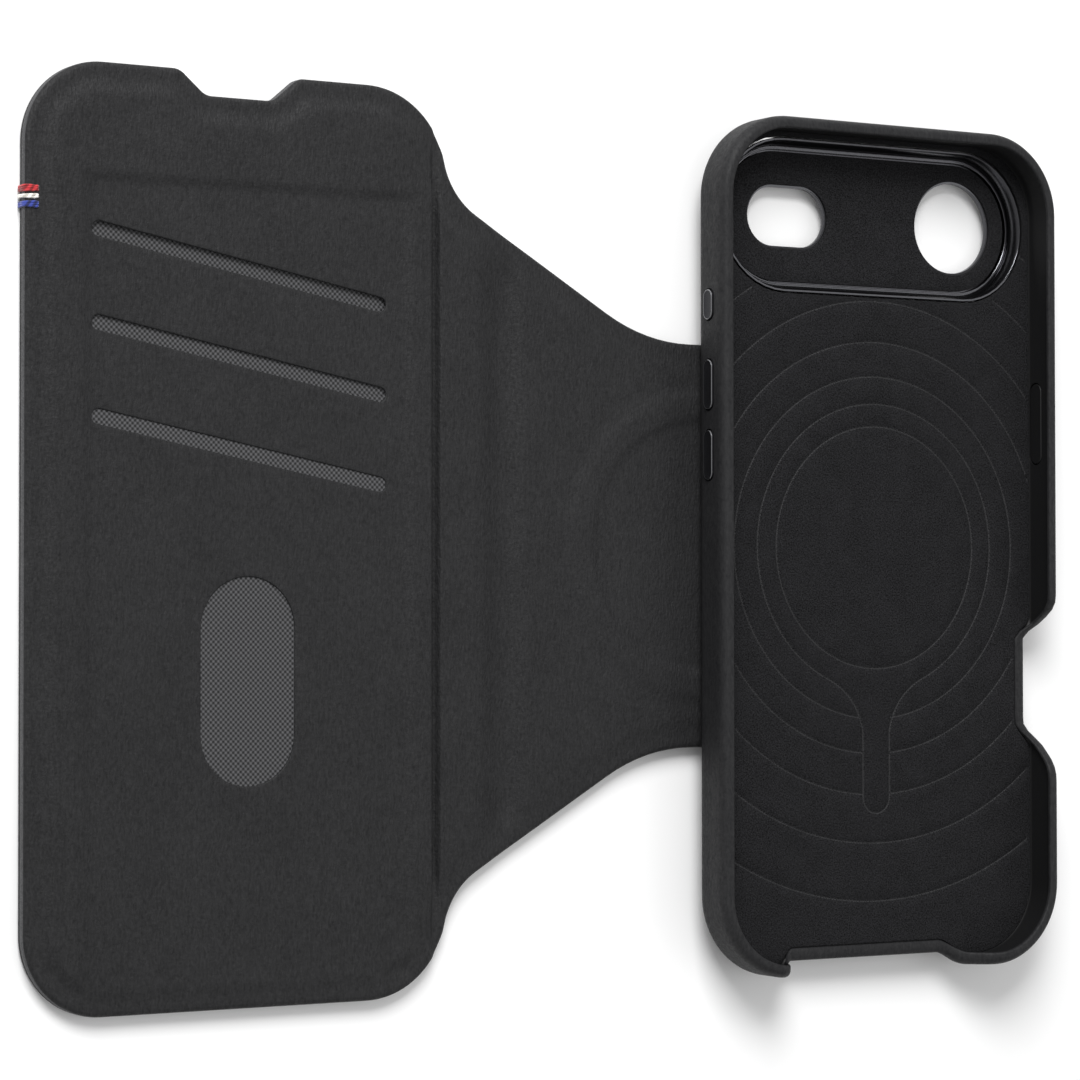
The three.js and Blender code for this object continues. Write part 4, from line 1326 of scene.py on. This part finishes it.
hole = (HOLE_PLAY, HOLE_PLAY)
seat = (FLANGE_GROW[0] + HOLE_PLAY, FLANGE_GROW[1] + HOLE_PLAY)
cut_holes(leather_piece, [(hole, -WALL - PAST, PAST)])
cut_holes(shell_piece, [(hole, -INSIDE, PAST), (seat, -WALL - PAST, -SEAT_DEPTH)])
paint(leather_piece, CASE_HIDE)
paint(shell_piece, SHELL_PLASTIC)
belongs(leather_piece, "case", "case_leather")
belongs(shell_piece, "case", "case_shell")

# %% [markdown]
# ### Buttons
# A button is a cap, a flange that keeps it in, and a pad on the inside that presses the phone's key. It
# is built out of rings like everything else, in its own frame, and then moved to its place. Only the thin
# bevel round the cap is cut bright, and the pad is moulded in the shell's plastic.

# %% Build the buttons
EDGE_CUT = 0.11   # width of the bright bevel
DISH = 0.03       # the cap's face lies this much below the bevel
PAD_ROUND = 0.1


def mark(piece, index, test):
    """Gives material number index to the faces whose centre, in millimetres, and normal pass the test."""
    for face in piece.data.polygons:
        if test(face.center / MM, face.normal):
            face.material_index = index


def button(cad_name, body):
    """One button, with its cap, flange and pad."""
    place, length, height = button_frame(cad_name)
    skin = Skin()

    def ring(grow_x, grow_y, out):
        return skin.ring(stadium(0, 0, length + 2 * grow_x, height + 2 * grow_y), out)

    shallow, pad = -FLANGE_DEPTH, -WALL + 0.05
    rings = [ring(FLANGE_GROW[0] - PAD_ROUND, FLANGE_GROW[1] - PAD_ROUND, pad),
             ring(*FLANGE_GROW, pad + PAD_ROUND),
             ring(*FLANGE_GROW, shallow),
             ring(0, 0, shallow),
             ring(0, 0, CAP_PROUD - EDGE_CUT),
             ring(-EDGE_CUT, -EDGE_CUT, CAP_PROUD),
             ring(-EDGE_CUT - 0.08, -EDGE_CUT - 0.08, CAP_PROUD - DISH)]
    skin.stack(rings)
    skin.fill(rings[0])
    skin.fill(rings[-1])
    made = skin.mesh(f"{cad_name}_cap", 30)
    paint(made, BUTTON_METAL, CUT_METAL, SHELL_PLASTIC)
    mark(made, 2, lambda centre, normal: centre.z < shallow - 0.01)
    mark(made, 1, lambda centre, normal: centre.z > CAP_PROUD - EDGE_CUT and 0.3 < normal.z < 0.97)
    made.data.transform(place)
    belongs(made, body, cad_name)


for cad_name, body in BUTTON_BODIES.items():
    button(cad_name, body)

# %% [markdown]
# ### Lining with pressed rings
# A heated tool has pressed thin rings into the suede, where the magnets lie under it, and wider rings
# round them like ripples. The inner one is whole, the next one runs into a stem over the upright magnet,
# and the others stop at the stem or at the walls. Each is a narrow V in the mesh: one row of points on
# its bottom and one on either side.

# %% Lines of the pressed rings
PRESS_RADII = (23.0, 27.3, 32.5, 39.1, 46.9, 56.1, 67.1)
STEM_RINGS = 5        # the rings after these pass below the stem, and only the walls end them
STEM_HALF = 3.1
STEM_END = -50.5
FUNNEL_START = 24.5   # degrees from straight down, where the second ring turns into the stem
PRESS_HALF = 0.24     # half width of a pressed line
PRESS_DEPTH = 0.16
PRESS_STEP = 0.34


def stem_side(side):
    """From the second ring down one side of the stem, as a hollow curve and a straight run."""
    a = math.radians(FUNNEL_START)
    start = np.array((side * PRESS_RADII[1] * math.sin(a), -PRESS_RADII[1] * math.cos(a)))
    pull, end = np.array((side * STEM_HALF * 1.4, -28.0)), np.array((side * STEM_HALF, -35.0))
    t = np.linspace(0, 1, 24)[:, None]
    curve = (1 - t) ** 2 * start + 2 * t * (1 - t) * pull + t**2 * end
    return np.vstack([curve, (side * STEM_HALF, STEM_END + STEM_HALF)])


def pressed_lines():
    """The middle lines of all that is pressed, round the ring's centre."""
    lines = [(arc((0, 0), PRESS_RADII[0], 0, 360, 2), False)]
    second = arc((0, 0), PRESS_RADII[1], -90 + FUNNEL_START, 270 - FUNNEL_START, 2)
    lines.append((second, False))
    for radius in PRESS_RADII[2:STEM_RINGS]:
        gap = math.degrees(math.asin((STEM_HALF + 0.3) / radius))
        lines.append((arc((0, 0), radius, -90 + gap, 270 - gap, 2), False))
    for radius in PRESS_RADII[STEM_RINGS:]:
        lines.append((arc((0, 0), radius, 0, 360, 2), False))
    bottom = arc((0, STEM_END + STEM_HALF), STEM_HALF, 180, 360, 8)
    lines.append((np.vstack([stem_side(-1), bottom, stem_side(1)[::-1]]), False))
    return [subdivide(line, PRESS_STEP, closed) for line, closed in lines]


# %% [markdown]
# ### Lining
# The lining is die-cut from one sheet. It fills the floor up to the mould's fillet and steps back where
# the wall is bitten. Loose points on the pressed lines lie much closer than the rest of its mesh.

# %% Build the lining
LINING_EDGE = 0.25
LINING_PLAY = 0.12


def suede_lining():
    """The suede sheet on the floor of the case."""
    skin = Skin()
    away = np.where(SHIFT > 0.01, 0.55 * np.clip(SHIFT, 0, 1) + SHIFT, 0) + LINING_PLAY
    base = wall_ring(skin, -away, LINING_LOW)
    sides = [base]
    for turn in quarter(4):
        across, down = LINING_EDGE * (1 - np.cos(turn)), LINING_EDGE * (1 - np.sin(turn))
        sides.append(wall_ring(skin, -away - across, LINING_TOP - down))
    skin.stack(sides)
    window = camera_line(WINDOW_PLAY)
    walls = [skin.ring(window, LINING_LOW), skin.ring(window, LINING_TOP)]
    skin.stack(walls)
    border, hole_line = skin.at(sides[-1])[:, :2], skin.at(walls[-1])[:, :2]
    lines = pressed_lines()
    middle = np.vstack(lines) + CASE_MIDDLE
    banks = [line + s * PRESS_HALF * inward(line, False) + CASE_MIDDLE for line in lines for s in (-1, 1)]
    presses = np.vstack([middle, *banks])
    clear = distance(presses, np.vstack([border, hole_line])) > 0.7
    presses = presses[clear & inside(presses, border) & ~inside(presses, hole_line)]
    loose = case_grid(2.0)
    loose = loose[distance(loose, presses) > 0.8]

    def height(x, y):
        """A narrow V along every pressed line."""
        gap = distance(np.column_stack([x, y]), middle)
        return LINING_TOP - PRESS_DEPTH * np.clip(1 - gap / PRESS_HALF, 0, 1)

    skin.fill(sides[-1], [walls[-1]], height, np.vstack([presses, loose]), room=0.3)
    skin.fill(base, [walls[0]], level(LINING_LOW), case_grid(8.0))
    made = skin.mesh("suede_case_lining", 50)
    paint(made, SUEDE, PRESSED_SUEDE)
    centres = np.array([f.center for f in made.data.polygons]) / MM
    pressed = distance(centres[:, :2], middle) < 0.62 * PRESS_HALF
    pressed &= (centres[:, 2] > LINING_TOP - PRESS_DEPTH) & (centres[:, 2] < LINING_TOP - 0.01)
    for i in np.flatnonzero(pressed):
        made.data.polygons[i].material_index = 1
    print(pressed.sum(), "pressed faces")
    belongs(made, "case", "case_lining")


suede_lining()

# %% [markdown]
# ### Camera frame
# One milled ring with a floor: a bright lip that stands a hair above the lining, a wall that slopes in, a
# narrow groove, and the floor with a round hole and a pill-shaped one. Swept rings give each facet its
# own crisp edge, which is what catches the light on a polished piece.

# %% Build the camera frame and its lining
LENS = (20.8, 8.7)            # place along X, and radius
FLASH = (-18.2, 17.6, 11.1)   # place along X, length and width
FRAME_BOTTOM = span("camera_frame", 2)[0]
PAD_LOW, PAD_TOP = span("camera_lining", 2)
FRAME_FLOOR = PAD_LOW - GLUE
HOLE_RELIEF = 0.4             # the pad keeps this far from the holes
PAD_INSET = 2.2
HOLE_EDGE = ((0.2, 0.0), (0.05, 0.05), (0.0, 0.2))  # a hole's small round: outwards, and down
# distances from the outer edge, and heights
FRAME_SECTION = [(0.9, FRAME_BOTTOM), (0.42, FRAME_BOTTOM + 0.12), (0.12, FRAME_BOTTOM + 0.42),
                 (0.0, FRAME_BOTTOM + 0.9), (0.0, LINING_TOP - 0.1), (0.12, LINING_TOP + 0.1),
                 (0.42, LINING_TOP + 0.1), (0.55, LINING_TOP - 0.02), (1.35, FRAME_FLOOR + 1.3),
                 (1.35, FRAME_FLOOR + 0.75), (1.62, FRAME_FLOOR + 0.75), (1.66, FRAME_FLOOR + 1.0),
                 (1.85, FRAME_FLOOR + 1.0), (1.95, FRAME_FLOOR + 0.9), (2.0, FRAME_FLOOR)]


def frame_holes(grow):
    """Lines of the round hole and of the pill-shaped one."""
    lens = subdivide(arc((LENS[0], CAMERA_Y), LENS[1] + grow, 0, 360, 5)[:-1], 1.0)
    flash = subdivide(stadium(FLASH[0], CAMERA_Y, FLASH[1] + 2 * grow, FLASH[2] + 2 * grow), 1.0)
    return [line + CASE_MIDDLE for line in (lens, flash)]


def camera_frame():
    """The milled frame with its floor and holes."""
    skin = Skin()
    rings = [skin.ring(camera_line(-inset), z) for inset, z in FRAME_SECTION]
    skin.stack(rings)
    upper, lower = [], []
    for line in frame_holes(0):
        out = -inward(line)
        walls = [skin.ring(line + e * out, FRAME_FLOOR - down) for e, down in HOLE_EDGE]
        for e, up in ((0, 0.25), (0.07, 0.07), (0.25, 0)):
            walls.append(skin.ring(line + e * out, FRAME_BOTTOM + up))
        skin.stack(walls)
        upper.append(walls[0])
        lower.append(walls[-1])
    skin.fill(rings[-1], upper)
    skin.fill(rings[0], lower)
    made = skin.mesh("camera_frame_ring", 30)
    paint(made, FRAME_METAL)
    belongs(made, "case", "camera_frame")


def camera_pad():
    """The suede on the frame's floor."""
    skin = Skin()
    section = ((0, PAD_LOW), (0, PAD_TOP - 0.15), (0.05, PAD_TOP - 0.04), (0.2, PAD_TOP))
    rings = [skin.ring(camera_line(-PAD_INSET - inset), z) for inset, z in section]
    skin.stack(rings)
    upper, lower = [], []
    for line in frame_holes(HOLE_RELIEF):
        out = -inward(line)
        walls = [skin.ring(line + e * out, PAD_TOP - down) for e, down in HOLE_EDGE]
        walls.append(skin.ring(line, PAD_LOW))
        skin.stack(walls)
        upper.append(walls[0])
        lower.append(walls[-1])
    skin.fill(rings[-1], upper, level(PAD_TOP), case_grid(2.0))
    skin.fill(rings[0], lower)
    made = skin.mesh("camera_suede_pad", 50)
    paint(made, SUEDE)
    belongs(made, "case", "camera_lining")


camera_frame()
camera_pad()

# %% [markdown]
# ## Hidden pieces
# Boards, plate and magnets can't be seen in a finished case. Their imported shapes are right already, so
# they only get their real finishes.

# %% Finish the hidden pieces
for name, piece in frame["nodes"].items():
    if "magnet" in name:
        paint(piece, MAGNET_PLATE)
    elif name in ("cover_board", "spine_board", "panel_plate"):
        paint(piece, BOARD)
kept = [name for name, piece in frame["nodes"].items() if not piece.hide_render]
print(len(kept), "packed pieces stay as they are")
# %% [markdown]
# ## Camera, floor and light
# The camera stands off to the free side of the cover and looks down on the whole object through a long
# lens, which keeps the far edges nearly parallel. It leans over to the left by a third of a right angle
# and hardly turns otherwise, so its place and its three turns say exactly where it looks.

# %% Camera
CAMERA_PLACE = (-340.74, -14.73, 557.31)
CAMERA_TURNS = (1.385, -31.114, -0.05)  # degrees round X, Y and Z
FOCAL_LENGTH = 119.6

eye = bpy.data.objects.new("camera", bpy.data.cameras.new("camera"))
bpy.context.scene.collection.objects.link(eye)
eye.location = Vector(CAMERA_PLACE) * MM
eye.rotation_euler = [math.radians(turn) for turn in CAMERA_TURNS]
eye.data.lens = FOCAL_LENGTH
eye.data.sensor_width = 36.0
eye.data.clip_start, eye.data.clip_end = 0.05, 20.0
bpy.context.scene.camera = eye
print(f"camera {eye.location.length:.3f} m from the origin")

# %% [markdown]
# A plain pale floor catches the soft shadows. The light is a large softbox above the upper left corner, a
# weaker one from the right that fills the case, and a bright even sky, as in a white studio tent.

# %% Floor and lights
FLOOR_SIZE = 6.0
FLOOR_DROP = 0.0002  # keeps the floor clear of the leather that lies on it
floor_mesh = bpy.data.meshes.new("floor")
signs = ((-1, -1), (1, -1), (1, 1), (-1, 1))
floor_corners = [(x * FLOOR_SIZE, y * FLOOR_SIZE, -FLOOR_DROP) for x, y in signs]
floor_mesh.from_pydata(floor_corners, [], [(0, 1, 2, 3)])
floor_piece = bpy.data.objects.new("floor", floor_mesh)
bpy.context.scene.collection.objects.link(floor_piece)
paper, _, paper_shader, _ = blank("white_paper", Roughness=0.9)
paper_shader.inputs["Base Color"].default_value = (0.93, 0.93, 0.93, 1)
paint(floor_piece, paper)
floor_piece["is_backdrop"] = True


def softbox(name, place, size, power):
    """An area light at a place in metres that faces the object."""
    lamp = bpy.data.objects.new(name, bpy.data.lights.new(name, "AREA"))
    bpy.context.scene.collection.objects.link(lamp)
    lamp.data.shape = "RECTANGLE"
    lamp.data.size, lamp.data.size_y = size
    lamp.data.energy = power
    lamp.location = place
    lamp.rotation_mode = "QUATERNION"
    lamp.rotation_quaternion = (-Vector(place)).to_track_quat("-Z", "Y")


softbox("key_light", (-0.4, 0.8, 0.75), (0.6, 0.6), 16.0)
softbox("fill_light", (0.9, -0.1, 0.9), (0.8, 0.8), 2.0)
sky = bpy.data.worlds.new("white_tent")
sky.use_nodes = True
sky.node_tree.nodes["Background"].inputs["Color"].default_value = (1, 1, 1, 1)
sky.node_tree.nodes["Background"].inputs["Strength"].default_value = 0.5
bpy.context.scene.world = sky
bpy.context.scene.view_settings.view_transform = "Standard"

# %% [markdown]
# ## The size
# Both boxes, of the imported model and of the looks, are printed side by side. The looks may not make the
# object larger than its imported model.

# %% Sizes
low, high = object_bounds()
sizes = {"cad": [list(cad_low), list(cad_high)], "visual": [list(low), list(high)]}
print("CAD box   ", [round(v * 1000, 2) for v in (*cad_low, *cad_high)])
print("visual box", [round(v * 1000, 2) for v in (*low, *high)])
